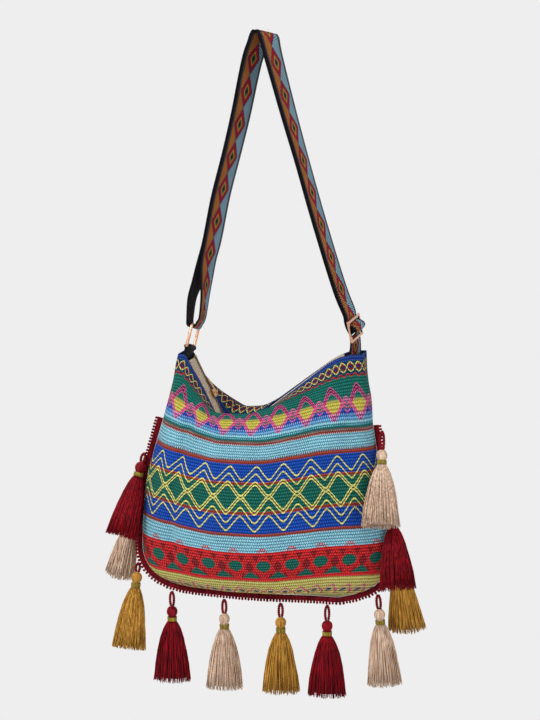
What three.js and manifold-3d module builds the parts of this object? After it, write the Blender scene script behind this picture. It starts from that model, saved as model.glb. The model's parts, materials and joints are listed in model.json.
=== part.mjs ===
// A tasselled shoulder bag of banded cloth: two cloth panels with a zipped mouth, a braid sewn into
// their seam, eleven tassels on the braid, and one long webbing strip that makes the doubled strap.
// Millimetres, +Z up, the front faces -Y. The origin is on the underside of the strap, where it
// hangs on the shoulder.
import * as THREE from "three";
import { mergeVertices } from "three/addons/utils/BufferGeometryUtils.js";
import Module from "manifold-3d";

const wasm = await Module();
wasm.setup();

// Clearances
const seatGap = 0.3; // between pieces that touch
const seamGap = 0.4; // between the two panels at their seam
const cornerGap = 1.7; // beside the webbing in the mouth's two corners

// Cloth panels. Each level is one row of the weave: how far it lies down the cloth from the hem,
// where it meets the left and right side seam (x, z), how far the mouth pulls it down in the front
// and in the back panel, how far it bellies out from the seam, and how rounded it is in plan.
const clothThick = 2;
const levels = [
  { down: 0, left: [-106, -392], right: [126, -388], frontDrop: 92, backDrop: 88, belly: 13, round: 0.03 },
  { down: 18, left: [-111, -409], right: [128, -406], frontDrop: 63, backDrop: 56, belly: 26, round: 0.25 },
  { down: 37, left: [-116, -428], right: [131, -425], frontDrop: 36, backDrop: 38, belly: 35, round: 0.55 },
  { down: 60, left: [-122, -449], right: [135, -447], frontDrop: 25, backDrop: 26, belly: 45, round: 0.75 },
  { down: 88, left: [-130, -477], right: [137, -479], frontDrop: 18, backDrop: 18, belly: 54, round: 0.9 },
  { down: 117, left: [-138, -505], right: [141, -505], frontDrop: 14, backDrop: 14, belly: 61, round: 1 },
  { down: 165, left: [-151, -551], right: [147, -551], frontDrop: 12, backDrop: 12, belly: 66, round: 1 },
  { down: 210, left: [-156, -595], right: [154, -599], frontDrop: 12, backDrop: 12, belly: 65, round: 1 },
  { down: 239, left: [-158, -626], right: [157, -626], frontDrop: 10, backDrop: 10, belly: 60, round: 1 },
  { down: 279, left: [-153, -664], right: [153, -662], frontDrop: 8, backDrop: 8, belly: 44, round: 1 },
  { down: 296, left: [-138, -681], right: [143, -681], frontDrop: 6, backDrop: 6, belly: 31, round: 1 },
  { down: 308, left: [-115, -691], right: [122, -693], frontDrop: 4, backDrop: 4, belly: 16, round: 1 },
  { down: 316, left: [-90, -695], right: [95, -700], frontDrop: 2, backDrop: 2, belly: 0, round: 1 },
];
const rowsPerLevel = 2;
const panelColumns = 20;

// The mouth sags between its two held corners. Each sag runs from its start to its full depth, stays
// there, and is gone at its end, in fractions of the bag's width.
const mouthSag = [0.043, 0.232, 0.36, 0.88];
const frontCrestSag = [0.05, 0.24, 0.42, 0.88];
const backCrestSag = [0.1, 0.36, 0.5, 0.92];
const bodySag = [0, 0.3, 0.52, 0.8];
const crestDown = 37; // cloth from the hem to the folded crest
const bodyDown = 88; // below this the body's own sag holds
const sagSoftness = { start: 0.012, full: 0.03, hold: 0.05, end: 0.08 };

// A vertical crease in the front panel, and gathers below the two held corners
const crease = { across: 0.145, width: 0.022, depth: 4.5, from: 20, to: 300 };
const gathers = { columns: 2, depth: 1.6, reach: 70 };

// Webbing of the strap and of the ring's tab
const webbingWide = 38;
const webbingThick = 1.8;
const layerGap = 1.1; // between the strap's two layers

// Zip
const tapeThick = 0.8;
const coilWide = 2.2;
const coilThick = 1.8;
const coilGap = 1.6; // between the two coils under the slider
const zipLift = 5; // the coils stand this far out of the mouth, above the hems
const mouthOpening = 16; // how far the open zip parts
const zipFrom = 0.06; // fractions of the width
const zipTo = 0.88;
const zipSteps = 30;
const sliderAcross = 0.155;
const slider = { long: 10, wide: 9, plate: 1, postLong: 3, postWide: 1, play: 0.4 };
const bail = { rise: 2.1, barRadius: 0.6, earThick: 0.8 };
const pull = { long: 20, wide: 3.5, thick: 1, knuckle: 1.5, rest: 6 };
const stop = { long: 1.6, thick: 2.4 };

// Ring and its tab
const ring = { foot: [-95, 1.2, -386], head: [-89, 1.2, -358.4], corner: 3, wire: 1.9 };
const ringWidthways = new THREE.Vector3(0, 0.985, -0.174);
const tab = { leans: [0.28, 0, 0.96], split: 8, long: 14.6 };

// Three-bar slider of the strap
const glide = { top: [112, -4.8, -345.5], wide: 47, bar: 3, pitch: 12, thick: 2.4, side: 3 };
const glideWidthways = new THREE.Vector3(0.17, 0.965, 0.14).normalize();
const glideDownwards = new THREE.Vector3(4, 0, -24.5);

// Braid
const braid = { wide: 10.5, thick: 2.4, picot: 0.9, pitch: 6, from: 85 };

// Tassels. Each hangs from the picot nearest its length along the braid: below it, in front or behind. It leans
// outward in the seam's plane and forward, and its cord drops this far from the braid to its head.
const tassel = {
  cord: 1.4,
  loopWide: 6.4,
  head: 6.8,
  neck: 4.6,
  band: { top: 13.4, tall: 5.8, thick: 1.5 },
  skirtTop: 20.5,
  skirtDeep: 15,
  long: 97,
  flute: 0.9,
  sides: 16,
};
const tassels = [
  { tint: "red", along: 46, place: "front", lean: 13, forward: 18, drop: 11, skirtWide: 20 },
  { tint: "beige", along: 105, place: "behind", lean: 17, forward: -16, drop: 18, skirtWide: 19 },
  { tint: "gold", along: 184, place: "front", lean: 5, forward: 11, drop: 11, skirtWide: 22 },
  { tint: "red", along: 236, place: "below", lean: 0, forward: 0, drop: 18.5, skirtWide: 24.5 },
  { tint: "beige", along: 300, place: "below", lean: 0, forward: 0, drop: 18, skirtWide: 24 },
  { tint: "gold", along: 369, place: "below", lean: 0, forward: 0, drop: 17.5, skirtWide: 25 },
  { tint: "red", along: 433, place: "below", lean: 0, forward: 0, drop: 19, skirtWide: 25 },
  { tint: "beige", along: 491, place: "below", lean: -5, forward: 0, drop: 18, skirtWide: 22 },
  { tint: "gold", along: 544, place: "behind", lean: -6, forward: -15, drop: 16, skirtWide: 24 },
  { tint: "red", along: 609, place: "front", lean: -7, forward: 19, drop: 17, skirtWide: 23 },
  { tint: "beige", along: 693, place: "front", lean: -3, forward: 28, drop: 24, skirtWide: 24 },
];

const finishes = {
  frontCloth: { color: 0x2a6f97, roughness: 0.95, metalness: 0 },
  backCloth: { color: 0x1f5f86, roughness: 0.95, metalness: 0 },
  braid: { color: 0x780a19, roughness: 0.8, metalness: 0 },
  webbing: { color: 0x5c2030, roughness: 0.85, metalness: 0 },
  blackWebbing: { color: 0x17161b, roughness: 0.85, metalness: 0 },
  zipTape: { color: 0xd8c6ab, roughness: 0.9, metalness: 0 },
  zipCoil: { color: 0xa98a62, roughness: 0.5, metalness: 0 },
  roseGold: { color: 0xd9a07c, roughness: 0.25, metalness: 1 },
  gold: { color: 0xb98a4c, roughness: 0.3, metalness: 1 },
  red: { color: 0x8c0f1e, roughness: 0.6, metalness: 0 },
  beige: { color: 0xcdaa8c, roughness: 0.6, metalness: 0 },
  oldGold: { color: 0xbe913c, roughness: 0.6, metalness: 0 },
  olive: { color: 0x8c7d28, roughness: 0.8, metalness: 0 },
};
const tintFinish = { red: "red", beige: "beige", gold: "oldGold" };

const group = new THREE.Group();

function addPiece(name, geometry, finish, parent = group) {
  const piece = new THREE.Mesh(geometry, new THREE.MeshStandardMaterial(finishes[finish]));
  piece.name = name;
  parent.add(piece);
  return piece;
}

// Small maths
const { lerp, clamp, degToRad } = THREE.MathUtils;
const vec = (x, y, z) => new THREE.Vector3(x, y, z);

// A bend from flat to slope 1 at zero, rounded over the softness on both sides.
function bend(x, softness) {
  if (x <= -softness) return 0;
  if (x >= softness) return x;
  return (x + softness) ** 2 / (4 * softness);
}

// Rises evenly from 0 to 1 between two places, with rounded ends.
function rise(x, from, to, fromSoftness, toSoftness = fromSoftness) {
  return (bend(x - from, fromSoftness) - bend(x - to, toSoftness)) / (to - from);
}

// Geometry from points and faces
function geometryOf(points, faces) {
  const positions = points.flatMap((p) => [p.x, p.y, p.z]);
  const geometry = new THREE.BufferGeometry();
  geometry.setAttribute("position", new THREE.Float32BufferAttribute(positions, 3));
  geometry.setIndex(faces);
  geometry.computeVertexNormals();
  return geometry;
}

// A closed solid through a row of rings with the same number of points each, turning the same way.
function loft(rings, closed = false) {
  const count = rings[0].length;
  const points = rings.flat();
  const faces = [];
  const spans = closed ? rings.length : rings.length - 1;
  for (let i = 0; i < spans; i += 1) {
    const here = i * count;
    const next = ((i + 1) % rings.length) * count;
    for (let j = 0; j < count; j += 1) {
      const k = (j + 1) % count;
      faces.push(here + j, here + k, next + k);
      faces.push(here + j, next + k, next + j);
    }
  }
  if (!closed) {
    const last = (rings.length - 1) * count;
    for (let j = 1; j < count - 1; j += 1) {
      faces.push(0, j + 1, j);
      faces.push(last, last + j, last + j + 1);
    }
  }
  return outward(geometryOf(points, faces));
}

// Turns a closed solid's faces outward.
function outward(geometry) {
  const p = geometry.getAttribute("position");
  const index = geometry.getIndex().array;
  const [a, b, c] = [vec(), vec(), vec()];
  let volume = 0;
  for (let i = 0; i < index.length; i += 3) {
    a.fromBufferAttribute(p, index[i]);
    b.fromBufferAttribute(p, index[i + 1]);
    c.fromBufferAttribute(p, index[i + 2]);
    volume += a.dot(b.cross(c));
  }
  if (volume < 0) {
    for (let i = 0; i < index.length; i += 3) {
      [index[i + 1], index[i + 2]] = [index[i + 2], index[i + 1]];
    }
    geometry.computeVertexNormals();
  }
  return geometry;
}

// The manifold solid of a geometry, and the geometry of a manifold solid.
function solidOf(geometry) {
  const bare = geometry.clone();
  bare.deleteAttribute("normal");
  bare.deleteAttribute("uv");
  const merged = mergeVertices(bare, 1e-4);
  const vertProperties = new Float32Array(merged.getAttribute("position").array);
  const triVerts = new Uint32Array(merged.getIndex().array);
  return new wasm.Manifold(new wasm.Mesh({ numProp: 3, vertProperties, triVerts }));
}

function geometryOfSolid(solid) {
  const mesh = solid.getMesh();
  const geometry = new THREE.BufferGeometry();
  geometry.setAttribute("position", new THREE.BufferAttribute(mesh.vertProperties, 3));
  geometry.setIndex(new THREE.BufferAttribute(mesh.triVerts, 1));
  geometry.computeVertexNormals();
  return geometry;
}

function joined(...geometries) {
  return geometryOfSolid(geometries.map(solidOf).reduce((all, next) => all.add(next)));
}

// A box with its middle at a place
function block(long, wide, tall, x = 0, y = 0, z = 0) {
  return new THREE.BoxGeometry(long, wide, tall).translate(x, y, z);
}

// Panel surfaces
const levelValues = levels.flatMap((v) => [...v.left, ...v.right, v.frontDrop, v.backDrop, v.belly, v.round]);
const levelCurve = new THREE.CubicInterpolant(levels.map((v) => v.down), levelValues, 8);

function rowAt(down) {
  const [leftX, leftZ, rightX, rightZ, frontDrop, backDrop, belly, round] = levelCurve.evaluate(down);
  return { leftX, leftZ, rightX, rightZ, frontDrop, backDrop, belly, round };
}

function sagAt(across, down, crestSag) {
  const toCrest = clamp(down / crestDown, 0, 1);
  const toBody = clamp((down - crestDown) / (bodyDown - crestDown), 0, 1);
  const [start, full, hold, end] = mouthSag.map((v, i) =>
    lerp(lerp(v, crestSag[i], toCrest), bodySag[i], toBody),
  );
  const soft = sagSoftness;
  return rise(across, start, full, soft.start, soft.full) - rise(across, hold, end, soft.hold, soft.end);
}

// The mouth is as wide as the webbing at its two ends, and it opens between the parted zip tapes.
const cornerHalf = webbingWide / 2 + cornerGap + clothThick;
function mouthHalf(across) {
  const narrow = levels[0].belly;
  const ends = 1 - rise(across, 0.07, 0.12, 0.02) + rise(across, 0.84, 0.9, 0.02);
  return narrow + (cornerHalf - narrow) * ends + partedBy(across);
}

function partedBy(across) {
  return (mouthOpening / 2) * (rise(across, 0.215, 0.3, 0.02) - rise(across, 0.7, 0.84, 0.03));
}

// The width runs evenly round the belly, so the columns are closer together at the side seams.
const acrossOf = (u) => (1 - Math.cos(Math.PI * u)) / 2;

// How far a panel lies from the seam's plane.
function depthAt(u, down, row) {
  const across = acrossOf(u);
  const fade = 1 - clamp(down / crestDown, 0, 1);
  const half = row.belly + (mouthHalf(across) - levels[0].belly) * fade;
  const nearEdge = Math.min(u, 1 - u);
  const round = Math.sin(Math.PI * nearEdge) ** row.round;
  const toCorner = clamp(1 - down / gathers.reach, 0, 1) * clamp(1 - nearEdge / 0.2, 0, 1);
  const wave = Math.cos((2 * Math.PI * nearEdge * panelColumns) / gathers.columns);
  const pleat = wave * toCorner * clamp(down / 10, 0, 1);
  return half * round + gathers.depth * pleat * round;
}

function creaseAt(across, down) {
  const inside = rise(down, crease.from, crease.from + 60, 10) - rise(down, crease.to - 60, crease.to, 10);
  return crease.depth * inside * Math.exp(-(((across - crease.across) / crease.width) ** 2));
}

// A point of a panel's outer face: side is -1 for the front and 1 for the back.
function panelPoint(u, down, side) {
  const row = rowAt(down);
  const across = acrossOf(u);
  const crestSag = side < 0 ? frontCrestSag : backCrestSag;
  const drop = side < 0 ? row.frontDrop : row.backDrop;
  const x = lerp(row.leftX, row.rightX, across);
  const z = lerp(row.leftZ, row.rightZ, across) - drop * sagAt(across, down, crestSag);
  const folded = side < 0 ? creaseAt(across, down) : 0;
  const depth = Math.max(0, depthAt(u, down, row) - folded);
  return vec(x, side * (seamGap / 2 + depth), z);
}

// The rows of a panel, down its cloth
const panelDowns = levels.slice(1).flatMap((level, i) => {
  const step = (level.down - levels[i].down) / rowsPerLevel;
  return Array.from({ length: rowsPerLevel }, (_, k) => levels[i].down + step * k);
});
panelDowns.push(levels.at(-1).down);

// A cloth panel: the outer face, and the inner face one cloth thickness inside it.
function panelGeometry(side) {
  const lastRow = panelDowns.length - 1;
  const face = (inset) =>
    panelDowns.map((down, r) =>
      Array.from({ length: panelColumns + 1 }, (_, c) => {
        const point = panelPoint(c / panelColumns, down, side);
        const onSeam = c === 0 || c === panelColumns || r === lastRow;
        return point.addScaledVector(panelNormal(c / panelColumns, down, onSeam, side), -inset);
      }),
    );
  const outer = face(0);
  const inner = face(clothThick);
  const rings = outer.map((row, r) => [...row, ...inner[r].toReversed()]);
  return sheetSolid(rings, panelColumns + 1);
}

function panelNormal(u, down, onSeam, side) {
  const step = 1e-3;
  const before = panelPoint(Math.max(0, u - step), down, side);
  const after = panelPoint(Math.min(1, u + step), down, side);
  const below = panelPoint(u, Math.min(panelDowns.at(-1), down + 0.5), side);
  const above = panelPoint(u, Math.max(0, down - 0.5), side);
  const normal = after.sub(before).cross(below.sub(above)).normalize();
  if (side < 0) normal.negate();
  if (u === 0) normal.set(-1, 0, 0);
  if (u === 1) normal.set(1, 0, 0);
  if (onSeam) normal.setY(0).normalize();
  return normal;
}

// A thin solid from rings that each hold an outer row and then the inner row backwards.
function sheetSolid(rings, rowLength) {
  const count = rowLength * 2;
  const points = rings.flat();
  const faces = [];
  for (let i = 0; i < rings.length - 1; i += 1) {
    for (let j = 0; j < count; j += 1) {
      const k = (j + 1) % count;
      const [a, b] = [i * count + j, i * count + k];
      const [d, c] = [a + count, b + count];
      faces.push(a, b, c);
      faces.push(a, c, d);
    }
  }
  for (const [start, flip] of [[0, false], [(rings.length - 1) * count, true]]) {
    for (let j = 0; j < rowLength - 1; j += 1) {
      const [a, b] = [start + j, start + j + 1];
      const [c, d] = [start + count - 2 - j, start + count - 1 - j];
      faces.push(...(flip ? [a, b, c, a, c, d] : [a, c, b, a, d, c]));
    }
  }
  return outward(geometryOf(points, faces));
}

addPiece("front_panel", panelGeometry(-1), "frontCloth");
addPiece("back_panel", panelGeometry(1), "backCloth");

// The mouth's line at a fraction of the width: its place, the way along it and the way out of it.
function mouthFrame(across, lift) {
  const place = (a) => {
    const p = panelPoint(Math.acos(1 - 2 * a) / Math.PI, 0, -1);
    return p.setY(0);
  };
  const along = place(across + 1e-3).sub(place(across - 1e-3)).normalize();
  const out = vec(-along.z, 0, along.x);
  return { point: place(across).addScaledVector(out, lift), along, out };
}

// A strip along the zip between two distances from the mouth's middle, on one side of it.
function zipStrip(side, section) {
  const rings = Array.from({ length: zipSteps + 1 }, (_, i) => {
    const across = lerp(zipFrom, zipTo, i / zipSteps);
    return section(across).map(([aside, lift]) => {
      const frame = mouthFrame(across, lift);
      return frame.point.setY(side * aside);
    });
  });
  return loft(rings);
}

const coilInner = (across) => coilGap / 2 + partedBy(across);
const tapeEdge = (across) => mouthHalf(across) - clothThick - seatGap;

function tapeSection(across) {
  const edge = coilInner(across) + coilWide + seatGap;
  const bottom = -tapeThick;
  return [
    [edge, zipLift - tapeThick / 2],
    [edge, zipLift + tapeThick / 2],
    [tapeEdge(across), bottom + tapeThick],
    [tapeEdge(across), bottom],
  ];
}

function coilSection(across) {
  const inner = coilInner(across);
  const outer = inner + coilWide;
  const [low, high] = [zipLift - coilThick / 2, zipLift + coilThick / 2];
  return [[inner, low], [inner, high], [outer, high], [outer, low]];
}

addPiece("zip_tape_front", zipStrip(-1, tapeSection), "zipTape");
addPiece("zip_tape_back", zipStrip(1, tapeSection), "zipTape");
addPiece("zip_coil_front", zipStrip(-1, coilSection), "zipCoil");
addPiece("zip_coil_back", zipStrip(1, coilSection), "zipCoil");

// A frame along the straight part of the zip: local X runs down the zip, local Z out of it.
function zipGroup(across) {
  const frame = mouthFrame(across, zipLift);
  const holder = new THREE.Group();
  const sideways = vec().crossVectors(frame.out, frame.along);
  holder.setRotationFromMatrix(new THREE.Matrix4().makeBasis(frame.along, sideways, frame.out));
  holder.position.copy(frame.point);
  group.add(holder);
  return holder;
}

// Slider body: two plates round the coils, a post between them, and a bail for the pull.
const plateHeight = coilThick / 2 + slider.play + slider.plate / 2;
const barHeight = plateHeight + slider.plate / 2 + bail.rise;
function sliderGeometry() {
  const post = block(slider.postLong, slider.postWide, plateHeight * 2);
  const plates = [-1, 1].map((s) => block(slider.long, slider.wide, slider.plate, 0, 0, s * plateHeight));
  const earTall = bail.rise + bail.barRadius + slider.plate / 2;
  const earY = pull.wide / 2 + seatGap + bail.earThick / 2;
  const ears = [-1, 1].map((s) =>
    block(2 * bail.barRadius, bail.earThick, earTall, 0, s * earY, plateHeight + earTall / 2),
  );
  const bar = new THREE.CylinderGeometry(bail.barRadius, bail.barRadius, 2 * earY, 10);
  bar.translate(0, 0, barHeight);
  return joined(post, ...plates, ...ears, bar);
}

// Pull: a knuckle round the bail's bar and a flat tongue that lies up the tape.
function pullGeometry() {
  const outline = new THREE.Shape();
  const half = pull.thick / 2;
  const start = Math.asin(half / pull.knuckle);
  outline.absarc(0, 0, pull.knuckle, Math.PI + start, Math.PI - start + 2 * Math.PI, false);
  outline.lineTo(-pull.long + half, half);
  outline.absarc(-pull.long + half, 0, half, Math.PI / 2, (3 * Math.PI) / 2, false);
  const eye = new THREE.Path();
  eye.absarc(0, 0, bail.barRadius + seatGap, 0, 2 * Math.PI, true);
  outline.holes.push(eye);
  const body = new THREE.ExtrudeGeometry(outline, { depth: pull.wide, bevelEnabled: false, curveSegments: 8 });
  body.translate(0, 0, -pull.wide / 2);
  return body.rotateX(Math.PI / 2);
}

const sliderHolder = zipGroup(sliderAcross);
addPiece("zip_slider", sliderGeometry(), "gold", sliderHolder);
const pullPiece = addPiece("zip_pull", pullGeometry(), "gold", sliderHolder);
pullPiece.position.z = barHeight;
pullPiece.rotation.y = -degToRad(pull.rest);

const stopHolder = zipGroup(zipFrom);
const stopWide = coilGap + 2 * coilWide;
addPiece(
  "zip_end_stop",
  block(stop.long, stopWide, stop.thick, -stop.long / 2 - seatGap),
  "gold",
  stopHolder,
);

// Ribbons of webbing: stations hold the middle of the strip and the way across it.
function ribbon(stations, samplesPerStation) {
  const middles = new THREE.CatmullRomCurve3(stations.map((s) => s.point), false, "catmullrom", 0.5);
  const widths = new THREE.CatmullRomCurve3(stations.map((s) => s.wide), false, "catmullrom", 0.5);
  const steps = (stations.length - 1) * samplesPerStation;
  const rings = Array.from({ length: steps + 1 }, (_, i) => {
    const t = i / steps;
    const middle = middles.getPoint(t);
    const along = middles.getTangent(t);
    const wide = widths.getPoint(t);
    wide.addScaledVector(along, -wide.dot(along)).normalize();
    const thick = vec().crossVectors(along, wide);
    return [[-1, -1], [1, -1], [1, 1], [-1, 1]].map(([w, n]) =>
      middle
        .clone()
        .addScaledVector(wide, (w * webbingWide) / 2)
        .addScaledVector(thick, (n * webbingThick) / 2),
    );
  });
  return loft(rings);
}

const station = (point, wide) => ({ point, wide: wide.clone() });

// The doubled strap's middle line, from the strap slider over the shoulder to the ring's loop, and
// the way across the webbing, which twists on its way.
const apexAcross = vec(0.475, 0.845, -0.12).normalize();
const rightAcross = vec(0.24, 0.97, 0).normalize();
const leftAcross = vec(0.375, 0.927, 0).normalize();
const apexAlong = vec(-0.87, 0.49, 0).normalize();
apexAlong.addScaledVector(apexAcross, -apexAlong.dot(apexAcross)).normalize();
const apexOut = vec().crossVectors(apexAcross, apexAlong);
const layerOffset = (webbingThick + layerGap) / 2;
const apexMiddle = apexOut.clone().multiplyScalar(layerOffset + webbingThick / 2);
const apexFlat = [-4.5, -1.5, 1.5, 4.5]; // stations of the flat place on the shoulder

const rightStrand = [
  [98, -6.6, -316],
  [88, -5.5, -287],
  [76, -3, -250],
  [63, -1, -208],
  [47.5, -1, -154],
  [33, -3, -103],
  [21, -6, -58],
  [12.5, -7, -26],
  [8, -5.2, -9],
  [5.9, -3.3, -1.8],
];
const leftStrand = [
  [-5.7, 3.2, -1.8],
  [-8.6, 3.9, -9],
  [-14.5, 4.6, -24],
  [-20.5, 4, -49],
  [-30, 2, -96],
  [-42, 0.5, -146],
  [-55, 0, -196],
  [-66, 0, -250],
];

function strapMiddle() {
  const right = rightStrand.map((place, i) => {
    const twist = clamp((i - 4) / 5, 0, 1);
    return station(vec(...place), rightAcross.clone().lerp(apexAcross, twist));
  });
  const apex = apexFlat.map((s) => ({
    ...station(apexMiddle.clone().addScaledVector(apexAlong, s), apexAcross),
    out: apexOut,
  }));
  const left = leftStrand.map((place, i) => {
    const twist = clamp(1 - i / 5, 0, 1);
    return station(vec(...place), leftAcross.clone().lerp(apexAcross, twist));
  });
  return [...right, ...apex, ...left];
}

// One layer of the doubled strap: the middle line moved out or in.
function strapLayer(offset) {
  const middle = strapMiddle();
  return middle.map((here, i) => {
    const before = middle[Math.max(0, i - 1)].point;
    const after = middle[Math.min(middle.length - 1, i + 1)].point;
    const along = after.clone().sub(before).normalize();
    const out = here.out ?? vec().crossVectors(here.wide, along).normalize();
    return station(here.point.clone().addScaledVector(out, offset), here.wide);
  });
}

// The strap slider's own frame: distances down from its top bar and out to its face.
const glideTop = vec(...glide.top);
const glideDown = glideDownwards.clone();
glideDown.addScaledVector(glideWidthways, -glideDown.dot(glideWidthways)).normalize();
const glideOut = vec().crossVectors(glideDown, glideWidthways);
function atGlide(down, out) {
  const point = glideTop.clone().addScaledVector(glideDown, down).addScaledVector(glideOut, out);
  return station(point, glideWidthways);
}

const besideBar = glide.thick / 2 + seatGap + webbingThick / 2; // webbing flat against a bar
const wrapRadius = Math.hypot(glide.bar, glide.thick) / 2 + seatGap + webbingThick / 2;
const humpOut = wrapRadius + webbingThick + 1.8; // the strap's bulge over the wrapped bar

// The strip starts in the bag's right corner, climbs through the strap slider and over its middle
// bar, and goes on to the shoulder.
function strapStart() {
  const tail = [
    station(vec(113, 0, -399), vec(0.3, 0.954, 0)),
    station(vec(113.6, -0.2, -390), vec(0.27, 0.96, 0.03)),
    station(vec(114.4, -0.7, -380), vec(0.21, 0.965, 0.09)),
  ];
  const { pitch } = glide;
  const humpStart = pitch - 5;
  const humpEnd = pitch + 5;
  const throughSlider = [
    atGlide(2 * pitch + 1, -besideBar),
    atGlide(2 * pitch - 2.6, -besideBar + 0.2),
    atGlide(humpEnd + 2, -0.3),
    atGlide(humpEnd, 3),
    atGlide(pitch + 2.5, humpOut - 0.8),
    atGlide(pitch, humpOut),
    atGlide(pitch - 2.5, humpOut - 0.8),
    atGlide(humpStart, 3),
    atGlide(humpStart - 2, -0.3),
    atGlide(2.6, -besideBar + 0.2),
    atGlide(-1, -besideBar),
    atGlide(-9, -besideBar),
  ];
  return [...tail, ...throughSlider];
}

// It ends round the strap slider's middle bar, where it is sewn to itself.
function strapEnd() {
  const inner = besideBar + webbingThick + layerGap;
  const approach = [atGlide(-9, -inner), atGlide(-1, -inner), atGlide(6, -inner + 0.5)];
  const wrap = [0, 45, 90, 135, 180, 225].map((angle) => {
    const a = degToRad(angle);
    return atGlide(glide.pitch + wrapRadius * Math.sin(a), -wrapRadius * Math.cos(a));
  });
  return [...approach, ...wrap];
}

// The ring's frame: it stands on its foot bar in the tab, and its head bar hangs in the strap's loop.
const ringFoot = vec(...ring.foot);
const ringUp = vec(...ring.head).sub(ringFoot);
const ringTall = ringUp.length();
ringUp.addScaledVector(ringWidthways, -ringUp.dot(ringWidthways)).normalize();
const ringOut = vec().crossVectors(ringWidthways, ringUp);
const ringHead = ringFoot.clone().addScaledVector(ringUp, ringTall);

// The loop that holds the ring, between the two layers. The ring's head can move aside in it.
const ringPlay = 4.2;
function ringLoop() {
  const untwist = (share) => leftAcross.clone().lerp(ringWidthways, share);
  const under = ring.wire + 1.5 * seatGap + webbingThick / 2;
  const nearRing = (out, up) =>
    station(ringHead.clone().addScaledVector(ringOut, out).addScaledVector(ringUp, up), ringWidthways);
  return [
    station(vec(-76, 1.6, -277), untwist(0.2)),
    station(vec(-84, 4, -300), untwist(0.5)),
    station(vec(-92.5, 5.8, -323), untwist(0.85)),
    nearRing(-10, 12),
    nearRing(-8.3, 3),
    nearRing(-ringPlay - 0.85 * under, -0.5 * under),
    nearRing(-ringPlay, -under),
    nearRing(0, -under),
    nearRing(0.85 * under, -0.5 * under),
    nearRing(4.2, 3),
    nearRing(6, 12),
    station(vec(-76.5, 5.8, -323), untwist(0.85)),
    station(vec(-74, 4, -300), untwist(0.5)),
    station(vec(-71, 1.6, -277), untwist(0.2)),
  ];
}

const strapStations = [
  ...strapStart(),
  ...strapLayer(layerOffset),
  ...ringLoop(),
  ...strapLayer(-layerOffset).reverse(),
  ...strapEnd(),
];
addPiece("strap_webbing", ribbon(strapStations, 2), "webbing");

// Three-bar slider: a flat frame with two windows
function glideGeometry() {
  const { wide, bar, pitch, thick, side } = glide;
  const rectangle = (shape, top, bottom, half) => {
    shape.moveTo(-half, bottom);
    shape.lineTo(half, bottom);
    shape.lineTo(half, top);
    shape.lineTo(-half, top);
    return shape;
  };
  const frame = rectangle(new THREE.Shape(), bar / 2, -2 * pitch - bar / 2, wide / 2);
  for (const top of [-bar / 2, -pitch - bar / 2]) {
    frame.holes.push(rectangle(new THREE.Path(), top, top - pitch + bar, wide / 2 - side));
  }
  const body = new THREE.ExtrudeGeometry(frame, { depth: thick, bevelEnabled: false });
  body.translate(0, 0, -thick / 2);
  const up = glideDown.clone().negate();
  const turn = new THREE.Matrix4().makeBasis(glideWidthways, up, vec().crossVectors(glideWidthways, up));
  return body.applyMatrix4(turn).translate(...glide.top);
}
addPiece("strap_slider", glideGeometry(), "roseGold");

// Ring: a wire bent to a rounded rectangle
function ringGeometry() {
  const half = webbingWide / 2 + seatGap + ring.corner;
  const corners = [
    [half - ring.corner, ring.corner, -90],
    [half - ring.corner, ringTall - ring.corner, 0],
    [-half + ring.corner, ringTall - ring.corner, 90],
    [-half + ring.corner, ring.corner, 180],
  ];
  const rings = corners.flatMap(([side, up, from]) =>
    [0, 30, 60, 90].map((turn) => {
      const angle = degToRad(from + turn);
      const away = vec().addScaledVector(ringWidthways, Math.cos(angle)).addScaledVector(ringUp, Math.sin(angle));
      const centre = ringFoot
        .clone()
        .addScaledVector(ringWidthways, side)
        .addScaledVector(ringUp, up)
        .addScaledVector(away, ring.corner);
      return Array.from({ length: 8 }, (_, k) => {
        const a = (k * Math.PI) / 4;
        return centre
          .clone()
          .addScaledVector(away, ring.wire * Math.cos(a))
          .addScaledVector(ringOut, ring.wire * Math.sin(a));
      });
    }),
  );
  return loft(rings, true);
}
addPiece("strap_ring", ringGeometry(), "roseGold");

// Tab: black webbing folded round the ring's foot, with both ends in the bag's left corner
function tabStations() {
  const radius = ring.wire + seatGap + webbingThick / 2;
  const up = vec(...tab.leans);
  up.addScaledVector(ringWidthways, -up.dot(ringWidthways)).normalize();
  const end = ringFoot.clone().addScaledVector(up, -tab.long);
  const out = vec().crossVectors(ringWidthways, up);
  const leg = (side, at, aside) =>
    station(at.clone().addScaledVector(out, side * aside), ringWidthways);
  const split = ringFoot.clone().addScaledVector(up, -tab.split);
  const fold = [-150, -105, -60, 0, 60, 105, 150].map((angle) => {
    const a = degToRad(angle);
    return station(
      ringFoot
        .clone()
        .addScaledVector(up, radius * Math.cos(a))
        .addScaledVector(out, radius * Math.sin(a)),
      ringWidthways,
    );
  });
  const aside = 1.2; // the tab's two layers lie this far from its middle
  const before = [leg(-1, end, aside), leg(-1, split, aside)];
  const after = [leg(1, split, aside), leg(1, end, aside)];
  return [...before, ...fold, ...after];
}
addPiece("ring_tab", ribbon(tabStations(), 2), "blackWebbing");

// The seam from the braid's left end down, along the bottom and up to its right end
function seamCurve() {
  const last = levels.at(-1).down;
  const side = panelDowns.filter((down) => down >= braid.from && down < last);
  const left = side.map((down) => panelPoint(0, down, -1));
  const right = side.map((down) => panelPoint(1, down, -1)).reverse();
  const columns = Array.from({ length: panelColumns / 2 + 1 }, (_, i) => (2 * i) / panelColumns);
  const bottom = columns.map((u) => panelPoint(u, last, -1));
  const points = [...left, ...bottom, ...right].map((p) => p.setY(0));
  return new THREE.CatmullRomCurve3(points, false, "centripetal");
}
const seam = seamCurve();
const seamLong = seam.getLength();
const braidSteps = 2 * Math.round(seamLong / braid.pitch); // the odd steps are picots

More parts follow.
